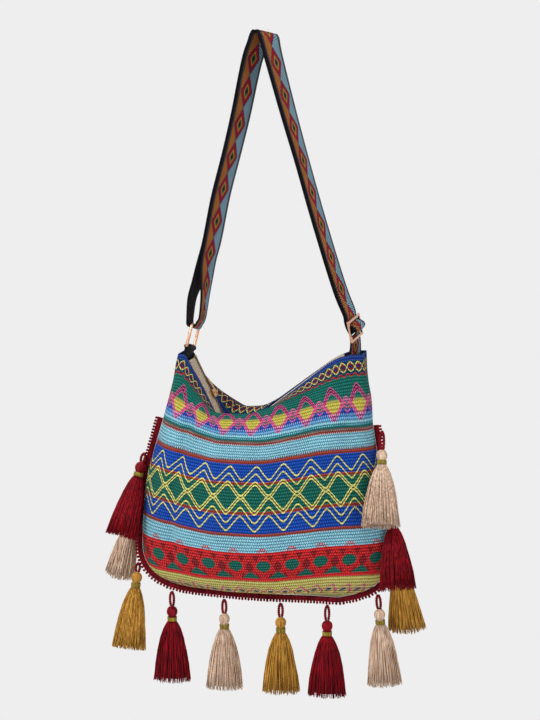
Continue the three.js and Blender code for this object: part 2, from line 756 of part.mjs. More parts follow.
function seamFrame(along) {
  const t = clamp(along / seamLong, 0, 1);
  const way = seam.getTangentAt(t);
  return { point: seam.getPointAt(t), out: vec(way.z, 0, -way.x) };
}

function braidGeometry() {
  const rings = Array.from({ length: braidSteps + 1 }, (_, i) => {
    const { point, out } = seamFrame((seamLong * i) / braidSteps);
    const edge = seatGap + braid.wide + (i % 2 ? 0 : -braid.picot * 2);
    return [[seatGap, -1], [edge, -1], [edge, 1], [seatGap, 1]].map(([away, s]) =>
      point.clone().addScaledVector(out, away).setY((s * braid.thick) / 2),
    );
  });
  return loft(rings);
}
addPiece("braid_trim", braidGeometry(), "braid");

// Tassels
function cordGeometry(drop) {
  const half = tassel.loopWide / 2;
  const bottom = -drop + 2 * seatGap;
  const path = new THREE.CatmullRomCurve3([
    vec(-1.6, 0, bottom),
    vec(-half, 0, bottom * 0.62),
    vec(-half * 0.8, 0, bottom * 0.22),
    vec(0, 0, 0),
    vec(half * 0.8, 0, bottom * 0.22),
    vec(half, 0, bottom * 0.62),
    vec(1.6, 0, bottom),
  ]);
  const section = new THREE.Shape();
  section.absarc(0, 0, tassel.cord, 0, 2 * Math.PI, false);
  return new THREE.ExtrudeGeometry(section, {
    steps: 12,
    curveSegments: 3,
    bevelEnabled: false,
    extrudePath: path,
  });
}

// The hank: a round head, a bound neck and a fluted skirt that is wider than deep.
function hankGeometry(skirtWide) {
  const { head, neck, band, skirtTop, skirtDeep, long, sides } = tassel;
  const rows = [
    [0, 2.6, 2.6, 0],
    [head * 0.35, head * 0.82, head * 0.82, 0],
    [head, head, head, 0],
    [head * 1.6, head * 0.86, head * 0.86, 0],
    [band.top - 0.4, neck, neck, 0],
    [band.top + band.tall + 0.4, neck, neck, 0],
    [skirtTop + 3.5, neck * 1.75, neck * 1.6, 0.5],
    [lerp(skirtTop, long, 0.35), lerp(neck, skirtWide, 0.55), lerp(neck, skirtDeep, 0.55), 1],
    [lerp(skirtTop, long, 0.7), lerp(neck, skirtWide, 0.8), lerp(neck, skirtDeep, 0.8), 1],
    [long, skirtWide, skirtDeep, 1],
  ];
  const rings = rows.map(([down, wide, deep, fluted]) =>
    Array.from({ length: sides }, (_, k) => {
      const angle = (2 * Math.PI * k) / sides;
      const ridge = k % 2 ? -tassel.flute * fluted : 0;
      return vec((wide + ridge) * Math.cos(angle), (deep + ridge) * Math.sin(angle), -down);
    }),
  );
  return loft(rings);
}

function bandGeometry() {
  const { neck, band } = tassel;
  const inner = neck + seatGap;
  const outer = inner + band.thick;
  const bottom = -band.top - band.tall;
  const profile = [
    [inner, bottom],
    [outer, bottom],
    [outer, -band.top],
    [inner, -band.top],
    [inner, bottom],
  ].map(([r, z]) => new THREE.Vector2(r, z));
  return new THREE.LatheGeometry(profile, 12).rotateX(Math.PI / 2);
}

tassels.forEach(({ tint, along, place, lean, forward, drop, skirtWide }, i) => {
  const picot = 2 * Math.round(along / braid.pitch) + 1;
  const { point, out } = seamFrame((seamLong * picot) / braidSteps);
  const below = place === "below";
  const away = below ? braid.wide + 2 * seatGap + tassel.cord : braid.wide;
  const hang = point.clone().addScaledVector(out, away);
  if (!below) hang.y = (place === "front" ? -1 : 1) * (braid.thick / 2 + seatGap + tassel.cord);
  const holder = new THREE.Group();
  holder.position.copy(hang);
  holder.rotation.set(-degToRad(forward), degToRad(lean), 0, "YXZ");
  group.add(holder);
  const name = `tassel_${String(i + 1).padStart(2, "0")}_${tint}`;
  addPiece(`${name}_cord`, cordGeometry(drop), "braid", holder);
  addPiece(`${name}_hank`, hankGeometry(skirtWide).translate(0, 0, -drop), tintFinish[tint], holder);
  addPiece(`${name}_band`, bandGeometry().translate(0, 0, -drop), "olive", holder);
});

export default group;
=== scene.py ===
"""The looks of a tasselled shoulder bag: banded jacquard cloth, a zipped mouth, a crimson braid with eleven
yarn tassels, and a doubled jacquard strap. Shapes are in millimetres in the part's own frame."""

import json
import math
import random

import bmesh
import bpy
import numpy as np
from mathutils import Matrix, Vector

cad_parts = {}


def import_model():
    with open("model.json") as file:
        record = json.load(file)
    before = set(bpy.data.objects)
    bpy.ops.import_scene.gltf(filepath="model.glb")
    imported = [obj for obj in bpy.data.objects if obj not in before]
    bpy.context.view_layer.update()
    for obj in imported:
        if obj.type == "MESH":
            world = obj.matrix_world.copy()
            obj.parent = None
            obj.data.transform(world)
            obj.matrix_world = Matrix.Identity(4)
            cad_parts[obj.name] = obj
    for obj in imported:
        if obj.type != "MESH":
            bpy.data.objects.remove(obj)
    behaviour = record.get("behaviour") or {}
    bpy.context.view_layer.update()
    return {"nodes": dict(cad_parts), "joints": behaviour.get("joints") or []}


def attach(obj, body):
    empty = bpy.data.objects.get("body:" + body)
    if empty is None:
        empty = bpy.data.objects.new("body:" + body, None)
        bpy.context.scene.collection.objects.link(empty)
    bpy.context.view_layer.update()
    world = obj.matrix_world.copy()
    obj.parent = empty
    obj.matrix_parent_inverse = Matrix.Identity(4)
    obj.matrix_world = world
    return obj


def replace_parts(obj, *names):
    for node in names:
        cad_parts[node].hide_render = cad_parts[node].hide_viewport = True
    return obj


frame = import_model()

MM, DM = 0.001, 100.0
rng = random.Random(11)


def add_object(name, data):
    obj = bpy.data.objects.new(name, data)
    bpy.context.collection.objects.link(obj)
    return obj


def aim(obj, place, target):
    """Puts a camera or lamp at a place, in metres, looking at a target."""
    obj.location = place
    obj.rotation_euler = (target - place).to_track_quat("-Z", "Y").to_euler()


def make_camera():
    """Looks at the middle of the bag from a little to its right and above."""
    target = Vector((0.007, 0.0, -0.400))
    azimuth, elevation, distance = math.radians(9.5), math.radians(7.5), 2.4
    level = math.cos(elevation)
    away = Vector((math.sin(azimuth) * level, -math.cos(azimuth) * level, math.sin(elevation)))
    data = bpy.data.cameras.new("camera")
    data.sensor_width = 36.0
    data.lens = 96.0
    camera = add_object("camera", data)
    aim(camera, target + away * distance, target)
    bpy.context.scene.camera = camera


make_camera()


# Meshes. Points are in millimetres, and UVs in decimetres (DM millimetres) of cloth, tape or yarn.
def mesh_object(name, points, faces, material, uv=None, smooth=True, slots=None, corner_uv=None):
    """A mesh with one (u, v) for each point in uv, or one for each corner of a face in corner_uv."""
    mesh = bpy.data.meshes.new(name)
    mesh.from_pydata([(x * MM, y * MM, z * MM) for x, y, z in points], [], faces)
    if corner_uv is None:
        corners = np.empty(len(mesh.loops), dtype=np.int32)
        mesh.loops.foreach_get("vertex_index", corners)
        corner_uv = np.asarray(uv, dtype=np.float32)[corners]
    layer = mesh.uv_layers.new(name="UVMap")
    layer.data.foreach_set("uv", np.asarray(corner_uv, dtype=np.float32).ravel())
    mesh.polygons.foreach_set("use_smooth", [smooth] * len(mesh.polygons))
    for each in material if isinstance(material, list) else [material]:
        mesh.materials.append(each)
    if slots is not None:
        mesh.polygons.foreach_set("material_index", slots)
    mesh.update()
    return add_object(name, mesh)


def grid_faces(rows, columns, closed_rows=False, closed_columns=False, start=0):
    """Quads of a grid of points, row after row."""
    faces = []
    for r in range(rows if closed_rows else rows - 1):
        for c in range(columns if closed_columns else columns - 1):
            a = start + r * columns + c
            b = start + r * columns + (c + 1) % columns
            up = ((r + 1) % rows) * columns + start
            faces.append((a, b, up + (c + 1) % columns, up + c))
    return faces


def end_caps(rings, size):
    """The two end faces of a tube whose points run ring after ring."""
    last = (rings - 1) * size
    return [tuple(range(size))[::-1], tuple(range(last, last + size))]


def run_along(path):
    """The distance from the start of a path to each of its points."""
    return np.concatenate([[0.0], np.cumsum(np.linalg.norm(np.diff(path, axis=0), axis=1))])


class Bits:
    """Points and faces of one mesh, gathered from many small pieces."""

    def __init__(self):
        self.points, self.faces, self.uv = [], [], []

    def add(self, points, faces, uv=None):
        start = len(self.points)
        self.points.extend(points)
        self.faces.extend(tuple(i + start for i in f) for f in faces)
        self.uv.extend(uv if uv is not None else [(0.0, 0.0)] * len(points))

    def tube(self, path, radius, sides=6, closed=False):
        """A tube along a path. The radius is one number, or one for each point."""
        path = np.asarray(path, float)
        count = len(path)
        radii = np.broadcast_to(radius, (count,))
        ways = tangents(path, closed)
        normals = frames(ways)
        angles = np.arange(sides) * 2 * math.pi / sides
        points, uv = [], []
        run = run_along(path)
        for i in range(count):
            n, b = normals[i], np.cross(ways[i], normals[i])
            for k, a in enumerate(angles):
                points.append(tuple(path[i] + radii[i] * (math.cos(a) * n + math.sin(a) * b)))
                uv.append((run[i] / DM, k / sides))
        faces = grid_faces(count, sides, closed_rows=closed, closed_columns=True)
        if not closed:
            faces += end_caps(count, sides)
        self.add(points, faces, uv)

    def object(self, name, material):
        return mesh_object(name, self.points, self.faces, material, uv=self.uv)


def tangents(path, closed=False):
    if closed:
        ways = np.roll(path, -1, axis=0) - np.roll(path, 1, axis=0)
    else:
        ways = np.gradient(path, axis=0)
    return ways / np.maximum(np.linalg.norm(ways, axis=1, keepdims=True), 1e-9)


def frames(ways):
    """One normal a point, carried along the path with as little turning as it allows."""
    first = np.array([0.0, 1.0, 0.0])
    if abs(ways[0] @ first) > 0.9:
        first = np.array([1.0, 0.0, 0.0])
    normals = []
    n = first - (first @ ways[0]) * ways[0]
    for t in ways:
        n = n - (n @ t) * t
        n = n / max(np.linalg.norm(n), 1e-9)
        normals.append(n)
    return normals


# Small maths of the cloth's shape
def clamp(x, low=0.0, high=1.0):
    return min(max(x, low), high)


def lerp(a, b, t):
    return a + (b - a) * t


def bend(x, softness):
    """0 below 0 and x above it, with a rounded turn between them."""
    if x <= -softness:
        return 0.0
    if x >= softness:
        return x
    return (x + softness) ** 2 / (4 * softness)


def rise(x, start, end, start_soft, end_soft=None):
    """Rises from 0 at the start to 1 at the end, with rounded turns."""
    end_soft = start_soft if end_soft is None else end_soft
    return (bend(x - start, start_soft) - bend(x - end, end_soft)) / (end - start)


# Levels of the cloth panels: how far down the cloth from the hem, the left and right seam (x, z), how far
# the mouth pulls the front and the back down, how far the cloth bellies out, and how round it is in plan
LEVELS = [
    (0, -106, -392, 126, -388, 92, 88, 13, 0.03),
    (18, -111, -409, 128, -406, 63, 56, 26, 0.25),
    (37, -116, -428, 131, -425, 36, 38, 35, 0.55),
    (60, -122, -449, 135, -447, 25, 26, 45, 0.75),
    (88, -130, -477, 137, -479, 18, 18, 54, 0.9),
    (117, -138, -505, 141, -505, 14, 14, 61, 1),
    (165, -151, -551, 147, -551, 12, 12, 66, 1),
    (210, -156, -595, 154, -599, 12, 12, 65, 1),
    (239, -158, -626, 157, -626, 10, 10, 60, 1),
    (279, -153, -664, 153, -662, 8, 8, 44, 1),
    (296, -138, -681, 143, -681, 6, 6, 31, 1),
    (308, -115, -691, 122, -693, 4, 4, 16, 1),
    (316, -90, -695, 95, -700, 2, 2, 0, 1),
]
DOWNS = [level[0] for level in LEVELS]
SEAM_GAP, CORNER_GAP, SEAT_GAP, CLOTH_THICK = 0.4, 1.7, 0.3, 2.0
WEBBING_WIDE, WEBBING_THICK, LAYER_GAP = 38.0, 1.8, 1.1
MOUTH_SAG = (0.043, 0.232, 0.36, 0.88)
FRONT_CREST_SAG = (0.05, 0.24, 0.42, 0.88)
BACK_CREST_SAG = (0.1, 0.36, 0.5, 0.92)
BODY_SAG = (0, 0.3, 0.52, 0.8)
CREST_DOWN, BODY_DOWN, LAST_DOWN = 37, 88, 316
MOUTH_OPENING, PLEAT_DEEP, CREASE_DEEP = 16, 1.6, 4.5


def row_at(down):
    """The level at a distance down the cloth, by the same cubic curve as in the part."""
    down = clamp(down, 0, LAST_DOWN)
    i = min(max(np.searchsorted(DOWNS, down, side="right"), 1), len(DOWNS) - 1)
    t0, t1 = DOWNS[i - 1], DOWNS[i]
    prev_i, prev_t = (i, t1) if i == 1 else (i - 2, DOWNS[i - 2])
    next_i, next_t = (i - 1, t0) if i == len(DOWNS) - 1 else (i + 1, DOWNS[i + 1])
    half = (t1 - t0) / 2
    wp, wn = half / (t0 - prev_t), half / (next_t - t1)
    p = (down - t0) / (t1 - t0)
    pp, ppp = p * p, p * p * p
    sp = -wp * ppp + 2 * wp * pp - wp * p
    s0 = (1 + wp) * ppp + (-1.5 - 2 * wp) * pp + (-0.5 + wp) * p + 1
    s1 = (-1 - wn) * ppp + (1.5 + wn) * pp + 0.5 * p
    sn = wn * ppp - wn * pp
    rows = [np.array(LEVELS[k][1:], float) for k in (prev_i, i - 1, i, next_i)]
    return sp * rows[0] + s0 * rows[1] + s1 * rows[2] + sn * rows[3]


def sag_at(across, down, crest_sag):
    """The share of its drop by which a row sags: 0 at the seams and 1 in its lowest stretch."""
    to_crest = clamp(down / CREST_DOWN)
    to_body = clamp((down - CREST_DOWN) / (BODY_DOWN - CREST_DOWN))
    start, full, hold, end = [
        lerp(lerp(m, c, to_crest), b, to_body) for m, c, b in zip(MOUTH_SAG, crest_sag, BODY_SAG)
    ]
    return rise(across, start, full, 0.012, 0.03) - rise(across, hold, end, 0.05, 0.08)


def parted_by(across):
    """How far each hem stands off the middle where the zip is open."""
    return (MOUTH_OPENING / 2) * (rise(across, 0.215, 0.3, 0.02) - rise(across, 0.7, 0.84, 0.03))


def mouth_half(across):
    narrow, corner = LEVELS[0][7], WEBBING_WIDE / 2 + CORNER_GAP + CLOTH_THICK
    ends = 1 - rise(across, 0.07, 0.12, 0.02) + rise(across, 0.84, 0.9, 0.02)
    return narrow + (corner - narrow) * ends + parted_by(across)


def depth_at(u, down, belly, roundness):
    across = (1 - math.cos(math.pi * u)) / 2
    fade = 1 - clamp(down / CREST_DOWN)
    half = belly + (mouth_half(across) - LEVELS[0][7]) * fade
    near = min(u, 1 - u)
    rounded = math.sin(math.pi * near) ** roundness
    corner = clamp(1 - down / 70) * clamp(1 - near / 0.2)
    pleat = math.cos(2 * math.pi * near * 10) * corner * clamp(down / 10)
    return half * rounded + PLEAT_DEEP * pleat * rounded


def ridge(x, place, width):
    return math.exp(-(((x - place) / width) ** 2))


def crease_at(across, down):
    """The long crease beside the left seam of the front."""
    inside = rise(down, 20, 80, 10) - rise(down, 240, 300, 10)
    return CREASE_DEEP * inside * ridge(across, 0.145, 0.022)


def panel_point(u, down, side):
    """A point of a panel's outer face: side is -1 for the front and 1 for the back."""
    left_x, left_z, right_x, right_z, front_drop, back_drop, belly, roundness = row_at(down)
    across = (1 - math.cos(math.pi * u)) / 2
    crest_sag = FRONT_CREST_SAG if side < 0 else BACK_CREST_SAG
    drop = front_drop if side < 0 else back_drop
    x = lerp(left_x, right_x, across)
    z = lerp(left_z, right_z, across) - drop * sag_at(across, down, crest_sag)
    folded = crease_at(across, down) if side < 0 else 0.0
    depth = max(0.0, depth_at(u, down, belly, roundness) - folded)
    return np.array([x, side * (SEAM_GAP / 2 + depth), z])


# Node materials
def feed(tree, value, slot):
    """Links a Sum or a socket to a slot, or sets a plain value there."""
    if isinstance(value, Sum):
        value = value.socket
    if isinstance(value, bpy.types.NodeSocket):
        tree.links.new(value, slot)
    else:
        slot.default_value = value


def new_node(tree, kind, **values):
    """A shader node with a value, a Sum or a socket fed to each named input."""
    node = tree.nodes.new("ShaderNode" + kind)
    for key, value in values.items():
        feed(tree, value, node.inputs[key])
    return node


def mixed_shaders(tree, factor, first, second):
    mixer = new_node(tree, "MixShader")
    for slot, value in zip(mixer.inputs, (factor, first, second)):
        feed(tree, value, slot)
    return mixer.outputs[0]


class Sum:
    """Wraps a number socket, so that a pattern reads as a plain formula."""

    def __init__(self, tree, socket):
        self.tree, self.socket = tree, socket

    def op(self, name, *others, clamped=False):
        node = new_node(self.tree, "Math")
        node.operation, node.use_clamp = name, clamped
        for slot, value in zip(node.inputs, (self, *others)):
            feed(self.tree, value, slot)
        return Sum(self.tree, node.outputs[0])

    def __add__(self, other):
        return self.op("ADD", other)

    def __sub__(self, other):
        return self.op("SUBTRACT", other)

    def __mul__(self, other):
        return self.op("MULTIPLY", other)

    def __truediv__(self, other):
        return self.op("DIVIDE", other)

    def __abs__(self):
        return self.op("ABSOLUTE")

    def above(self, edge, soft=0.3):
        """1 where this is above an edge, 0 below it, with a soft step."""
        return self.op("SUBTRACT", edge).op("DIVIDE", soft).op("ADD", 0.5, clamped=True)

    def below(self, edge, soft=0.3):
        return self.above(edge, soft) * -1.0 + 1.0

    def within(self, low, high, soft=0.3):
        return self.above(low, soft) * self.below(high, soft)

    def near(self, place, half, soft=0.3):
        """1 within half a width of a place."""
        return abs(self - place).below(half, soft)


def ripple(run, period=1.0):
    """A cosine along a run, 1 at each whole period."""
    return (run * (2 * math.pi / period)).op("COSINE")


def wave(u, period, peak, sharp=0.9):
    """Runs from 1 at the peaks to -1 between them, nearly straight with rounded turns."""
    return (ripple(u - peak, period) * sharp).op("ARCSINE") / math.asin(sharp)


class Finish:
    """A Principled material and the few helpers that its patterns need."""

    def __init__(self, name, **sockets):
        self.material = bpy.data.materials.new(name)
        self.material.use_nodes = True
        self.tree = self.material.node_tree
        self.shader = self.tree.nodes["Principled BSDF"]
        for key, value in sockets.items():
            self.shader.inputs[key.replace("_", " ")].default_value = value

    def coordinates(self, kind="UV"):
        return new_node(self.tree, "TexCoord").outputs[kind]

    def split(self, socket):
        node = new_node(self.tree, "SeparateXYZ", Vector=socket)
        return [Sum(self.tree, out) for out in node.outputs]

    def noise(self, scale, detail=2.0, source=None):
        source = source or self.coordinates("Object")
        node = new_node(self.tree, "TexNoise", Scale=scale, Detail=detail, Vector=source)
        return Sum(self.tree, node.outputs["Fac"])

    def combine(self, x, y, z=0.0):
        return new_node(self.tree, "CombineXYZ", X=x, Y=y, Z=z).outputs[0]

    def mix(self, factor, a, b, blend="MIX"):
        """From a at 0 to b at 1. Each is a socket or an sRGB tone."""
        node = new_node(self.tree, "Mix")
        node.data_type, node.blend_type = "RGBA", blend
        feed(self.tree, factor, node.inputs[0])
        for slot, value in ((node.inputs[6], a), (node.inputs[7], b)):
            feed(self.tree, value if isinstance(value, bpy.types.NodeSocket) else colour(value), slot)
        return node.outputs[2]

    def grey(self, value):
        """A number as a colour."""
        return self.combine(value, value, value)

    def ramp(self, value, stops, constant=True):
        node = new_node(self.tree, "ValToRGB", Fac=value)
        ramp = node.color_ramp
        ramp.interpolation = "CONSTANT" if constant else "LINEAR"
        for i, (place, tone) in enumerate(stops):
            element = ramp.elements[i] if i < 2 else ramp.elements.new(place)
            element.position = place
            element.color = colour(tone)
        return node.outputs[0]

    def colour(self, socket):
        feed(self.tree, socket, self.shader.inputs["Base Color"])

    def bump(self, height, distance=0.001, strength=1.0):
        node = new_node(self.tree, "Bump", Distance=distance, Strength=strength, Height=height)
        feed(self.tree, node.outputs[0], self.shader.inputs["Normal"])


def colour(tone):
    """Linear colour of an sRGB tone in 0 to 255."""
    linear = [v / 255 / 12.92 if v / 255 <= 0.04045 else ((v / 255 + 0.055) / 1.055) ** 2.4 for v in tone]
    return (*linear, 1.0)


GREEN, DEEP_GREEN, OLIVE_YELLOW = (0, 108, 96), (0, 98, 84), (206, 194, 76)
LIGHT_BLUE, ROYAL, RUST, TEAL = (124, 196, 220), (0, 70, 176), (158, 58, 40), (0, 112, 108)
PINK, PALE_PINK, SALMON, RED = (236, 88, 150), (238, 104, 164), (226, 100, 112), (206, 24, 30)
YELLOW, NAVY, PLUM, HEM_BLUE = (232, 226, 120), (22, 30, 84), (78, 18, 40), (24, 58, 140)

# The cloth's bands: how many millimetres down the cloth each starts, and its tone
BAND_SPAN = 320.0
BANDS = [
    (0, HEM_BLUE), (6, (10, 60, 92)), (24, GREEN), (66, (20, 74, 178)), (72.5, (70, 150, 216)),
    (77, LIGHT_BLUE), (83, TEAL), (88, RUST), (92.5, LIGHT_BLUE), (114, RUST), (119, ROYAL),
    (144.5, RUST), (148.5, DEEP_GREEN), (181.5, RUST), (185.5, ROYAL), (209.5, RUST), (213, LIGHT_BLUE),
    (236, (178, 16, 24)), (277, RED), (281.5, OLIVE_YELLOW),
]


# Patterns of the cloth, each laid over a base. u runs round the bag and v down it, in millimetres.
def hem_chain(f, base, u, v):
    """Two yellow waves that cross, red and navy between them, and a red zigzag under them."""
    middle, chain = 14.0, ripple(u, 21.0)
    aside = abs(v - middle)
    base = f.mix(aside.below(abs(chain) * 4.5, 0.8) * v.within(6.0, 24.0) * 0.75, base, (158, 24, 28))
    base = f.mix(aside.below(abs(chain) * 2.4 - 0.6, 0.6), base, NAVY)
    for swing in (6.0, -6.0):
        base = f.mix(v.near(chain * swing + middle, 0.85), base, YELLOW)
    return f.mix(v.near(wave(u, 10.5, 0.0) * 1.6 + 24.5, 1.1), base, (190, 34, 34))


def pink_diamonds(f, base, u, v):
    """Diamonds with pink rims, each over tones that change down the cloth."""
    pink = wave(u, 40.1, 201.9, 0.8)
    upper, lower = pink * -12.5 + 47.5, pink * 10.5 + 68.5
    rim = [(0.0, PLUM), (0.45, (44, 14, 52)), (0.6, (120, 30, 80)), (0.72, (206, 84, 100))]
    rim.append((0.84, (84, 50, 140)))
    inner = [(0.0, GREEN), (0.58, GREEN), (0.64, OLIVE_YELLOW), (0.75, OLIVE_YELLOW), (0.8, SALMON)]
    for top, low, tones in ((upper, lower, rim), (upper + 9.6, lower - 6.8, inner)):
        base = f.mix(v.above(top) * v.below(low), base, f.ramp(v / 90.0, tones, constant=False))
    for step in (0.9, 5.0, 9.1):
        base = f.mix(v.near(upper + step, 0.85), base, PINK)
        base = f.mix(v.near(lower - step * 0.75, 0.8), base, PALE_PINK)
    return base


def zigzags(f, base, u, v):
    """Yellow zigzags with a shadow under each. The lower ones mirror the upper ones about the middle."""
    peaks, swing, middle = wave(u, 35.7, 141.4), 9.3, 165.0
    for mirror, way in ((0.0, -1.0), (2 * middle, 1.0)):
        for top in (123.5, 133.8, 144.2, 148.6):
            line = peaks * (swing * way) + (mirror - way * (top + swing))
            base = f.mix(v.near(line + 1.1, 1.6) * 0.45, base, (8, 22, 30))
            base = f.mix(v.near(line, 1.15), base, YELLOW)
    return base


def red_lattice(f, base, u, v):
    """Crossing red lines with green lenses between them, triangles under them and small arches above."""
    period, middle = 35.8, 259.0
    lens = wave(u, period, 220.8)
    beside, far = lens * (-period / 4) + period / 4, lens * (period / 4) + period / 4
    arch = v - (beside * beside * 0.16 + 230.6)
    for at, half, tone in ((0.6, 1.0, (206, 40, 60)), (3.4, 0.8, (180, 40, 60))):
        base = f.mix(v.within(229.0, 238.0) * arch.near(at, half), base, tone)
    lattice = v.within(237.0, 280.0)
    base = f.mix(lattice * 0.75, base, (116, 8, 18))
    base = f.mix(v.near(238.6, 1.5) + v.near(279.0, 1.6), base, (220, 30, 32))
    for aside in (-5.6, 0.0, 5.6):
        for swing in (17.0, -17.0):
            base = f.mix(v.near(lens * swing + (middle + aside), 1.75) * lattice, base, (228, 30, 32))
    oval = (beside / 9.4).op("POWER", 1.6) + (abs(v - 257.0) / 8.4).op("POWER", 1.6)
    base = f.mix(oval.below(1.0, 0.12), base, DEEP_GREEN)
    triangle = (far * 0.85 + 266.5 - v).below(0.0, 0.5)
    return f.mix(triangle * v.within(266.0, 277.0), base, DEEP_GREEN)


def bottom_border(f, base, u, v):
    """Navy spots between small waves, and a plain edge."""
    period = 23.0
    small = wave(u, period, 4.0)
    spot = (small * (-period / 4) + period / 4).op("POWER", 2.0) / 14.0 + (v - 301.0).op("POWER", 2.0) / 7.0
    base = f.mix(spot.below(1.0, 0.2), base, NAVY)
    base = f.mix(v.near(small * -4.0 + 297.5, 1.3), base, (216, 80, 120))
    base = f.mix(v.near(small * 3.5 + 304.5, 1.2), base, (196, 40, 60))
    base = f.mix(v.near(small * 3.5 + 307.5, 0.9), base, YELLOW)
    return f.mix(v.above(310.0), base, (206, 196, 90))


def stitched_rows(f, base, u, v):
    """Crochet-like rows, each shifted by half a stitch, with dark holes (partly the dark lining, partly
    painted shade) and painted highlights on the stitches. Gives the colour and the height.
    """
    row_tall, stitch_wide, tick_wide = 4.1, 2.9, 3.1
    row = v / row_tall
    odd = row.op("FLOOR").op("MODULO", 2.0)
    stitch, across_row = ripple(u / stitch_wide + odd * 0.5), ripple(row)
    grain = f.noise(9.0, 3.0, f.combine(u * 0.12, v * 0.12)) - 0.5
    pale = v.within(88.0, 114.0) + v.within(213.0, 236.0) + v.within(69.0, 83.0) + v.within(281.5, 316.0)
    # The holes are painted near black: partly the dark lining seen through them, partly painted shade in
    # them.
    holes = (across_row * 0.5 + stitch * 0.62 + grain * 1.9 + pale * 0.16).above(0.68, 0.3)
    # Pale flecks are painted highlights on the stitches, stronger in the pale bands.
    light = (across_row * -0.45 + stitch * -0.55 + grain * 2.0 + pale * 0.2).above(0.6, 0.5)
    base = f.mix(holes * 0.88, base, (4, 12, 20))
    base = f.mix(light * (pale * 0.26 + 0.07), base, (232, 248, 252))
    # Where two bands meet, the stitches of one reach into the other.
    comb = ripple(u, tick_wide).above(0.0, 0.5)
    meets = ((88.0, (150, 62, 44)), (114.0, (110, 40, 44)), (213.0, (140, 60, 50)), (83.0, (8, 104, 110)))
    for edge, tone in meets:
        base = f.mix(v.near(edge, 1.9) * comb * 0.85, base, tone)
    return base, stitch * 0.22 + across_row * 0.3 + grain * 0.5 - holes * 0.6


def cloth_finish(name, shift):
    """The banded cloth, its pattern moved by a shift round the bag."""
    f = Finish(name, Roughness=0.9, Sheen_Weight=0.04, Specular_IOR_Level=0.08)
    u, v, _ = f.split(f.coordinates())
    u, v = u * DM + shift, v * DM
    # Each row of stitches wanders a little.
    v = v + (f.noise(0.9, 1.0, f.combine(u * 0.05, v * 0.05)) - 0.5) * 1.2
    base = f.ramp(v / BAND_SPAN, [(at / BAND_SPAN, tone) for at, tone in BANDS])
    for pattern in (hem_chain, pink_diamonds, zigzags, red_lattice, bottom_border):
        base = pattern(f, base, u, v)
    base, height = stitched_rows(f, base, u, v)
    tone = f.noise(1.6, 2.0, f.combine(u * 0.02, v * 0.02)) * 0.34 + 0.83
    f.colour(f.mix(1.0, base, f.grey(tone), "MULTIPLY"))
    f.bump(height, distance=0.0018, strength=0.9)
    return f.material


def lining_finish():
    f = Finish("lining", Roughness=0.95, Sheen_Weight=0.1)
    u, v, _ = f.split(f.coordinates())
    pitch = 2.5 / DM
    thread = ripple(u, pitch) * 0.5 + ripple(v, pitch) * 0.5
    f.colour(f.mix(thread.above(0.0, 1.5), (10, 10, 14), (24, 22, 28)))
    f.bump(thread, distance=0.0004)
    return f.material


def webbing_finish():
    """Jacquard webbing. U runs along the strip. V holds the way across, and is past 0.5 on the reverse."""
    f = Finish("webbing_jacquard", Roughness=0.85, Sheen_Weight=0.03, Specular_IOR_Level=0.08)
    u, v, _ = f.split(f.coordinates())
    reverse = v.above(0.5, 0.01)
    s, w = u * DM, (v - reverse) * DM
    repeat, black_from, black = 41.0, 14.6, (14, 11, 18)
    along = abs((s / repeat).op("FRACT") - 0.5) * repeat
    diamond = along / 20.8 + abs(w + 1.0) / 12.8
    outside = f.mix(w.above(-1.0, 0.2), (226, 138, 58), (164, 208, 230))
    ribs = ripple(along + abs(w) * 0.5, 3.1)
    outside = f.mix(ribs.above(0.1, 0.5) * 0.85, outside, (16, 10, 20))
    face = f.mix(diamond.above(1.0, 0.04), (64, 22, 84), outside)
    rings = (
        (0.84, (176, 14, 28)), (0.56, (26, 12, 20)), (0.47, (226, 168, 60)), (0.36, (20, 90, 60)),
        (0.2, (14, 10, 16)),
    )
    for edge, tone in rings:
        face = f.mix(diamond.below(edge, 0.04), face, tone)
    face = f.mix(abs(w).above(black_from, 0.3), face, black)
    dashes = ripple(s, 3.4).above(0.2, 0.4) * abs(w).within(16.0, 17.4)
    face = f.mix(dashes * 0.8, face, (150, 148, 160))
    ghost = f.mix(diamond.above(0.9, 0.06), (66, 26, 40), (34, 30, 40))
    ghost = f.mix(abs(w).above(black_from, 0.3), ghost, (16, 14, 20))
    base = f.mix(reverse, face, ghost)
    twill, warp = ripple(s / 1.5 + w / 1.1), ripple(w, 1.1)
    base = f.mix(twill.above(0.5, 0.8) * 0.3, base, (14, 10, 14))
    tone = f.noise(60.0, 3.0) * 0.5 + 0.74
    f.colour(f.mix(1.0, base, f.grey(tone), "MULTIPLY"))
    f.bump(twill * 0.5 + warp * 0.5, distance=0.0005, strength=0.8)
    return f.material


def woven_finish(name, tone, dark, pitch, roughness=0.85):
    """Plain woven tape or webbing in one colour."""
    f = Finish(name, Roughness=roughness, Sheen_Weight=0.05, Specular_IOR_Level=0.1)
    u, v, _ = f.split(f.coordinates())
    weave = ripple(u, pitch / DM) * ripple(v, pitch / DM)
    shade = f.noise(80.0, 3.0) * 0.5 + weave * 0.3 + 0.25
    f.colour(f.mix(shade.op("ADD", 0.0, clamped=True), dark, tone))
    f.bump(weave, distance=0.0004, strength=0.8)
    return f.material


def yarn_finish(name, tone, dark, sheen=0.05):
    """Silky yarn: each strand a little lighter or darker, with fine marks along it. The dark tone of the
    streaks is partly painted shade between clumps of strands.
    """
    f = Finish(name, Roughness=0.55, Sheen_Weight=sheen, Sheen_Roughness=0.35, Specular_IOR_Level=0.12)
    x, y, z = f.split(f.coordinates("Object"))
    streak = f.noise(1.0, 2.0, f.combine(x * 520.0, y * 520.0, z * 9.0))
    patch = f.noise(40.0, 2.0)
    # Mixes from the dark tone, partly painted shade in the gaps between strands, to the yarn's own tone.
    shade = (streak * 2.2 + patch * 0.8 - 0.95).op("ADD", 0.0, clamped=True)
    f.colour(f.mix(shade, dark, tone))
    f.bump(streak, distance=0.0004, strength=0.6)
    return f.material


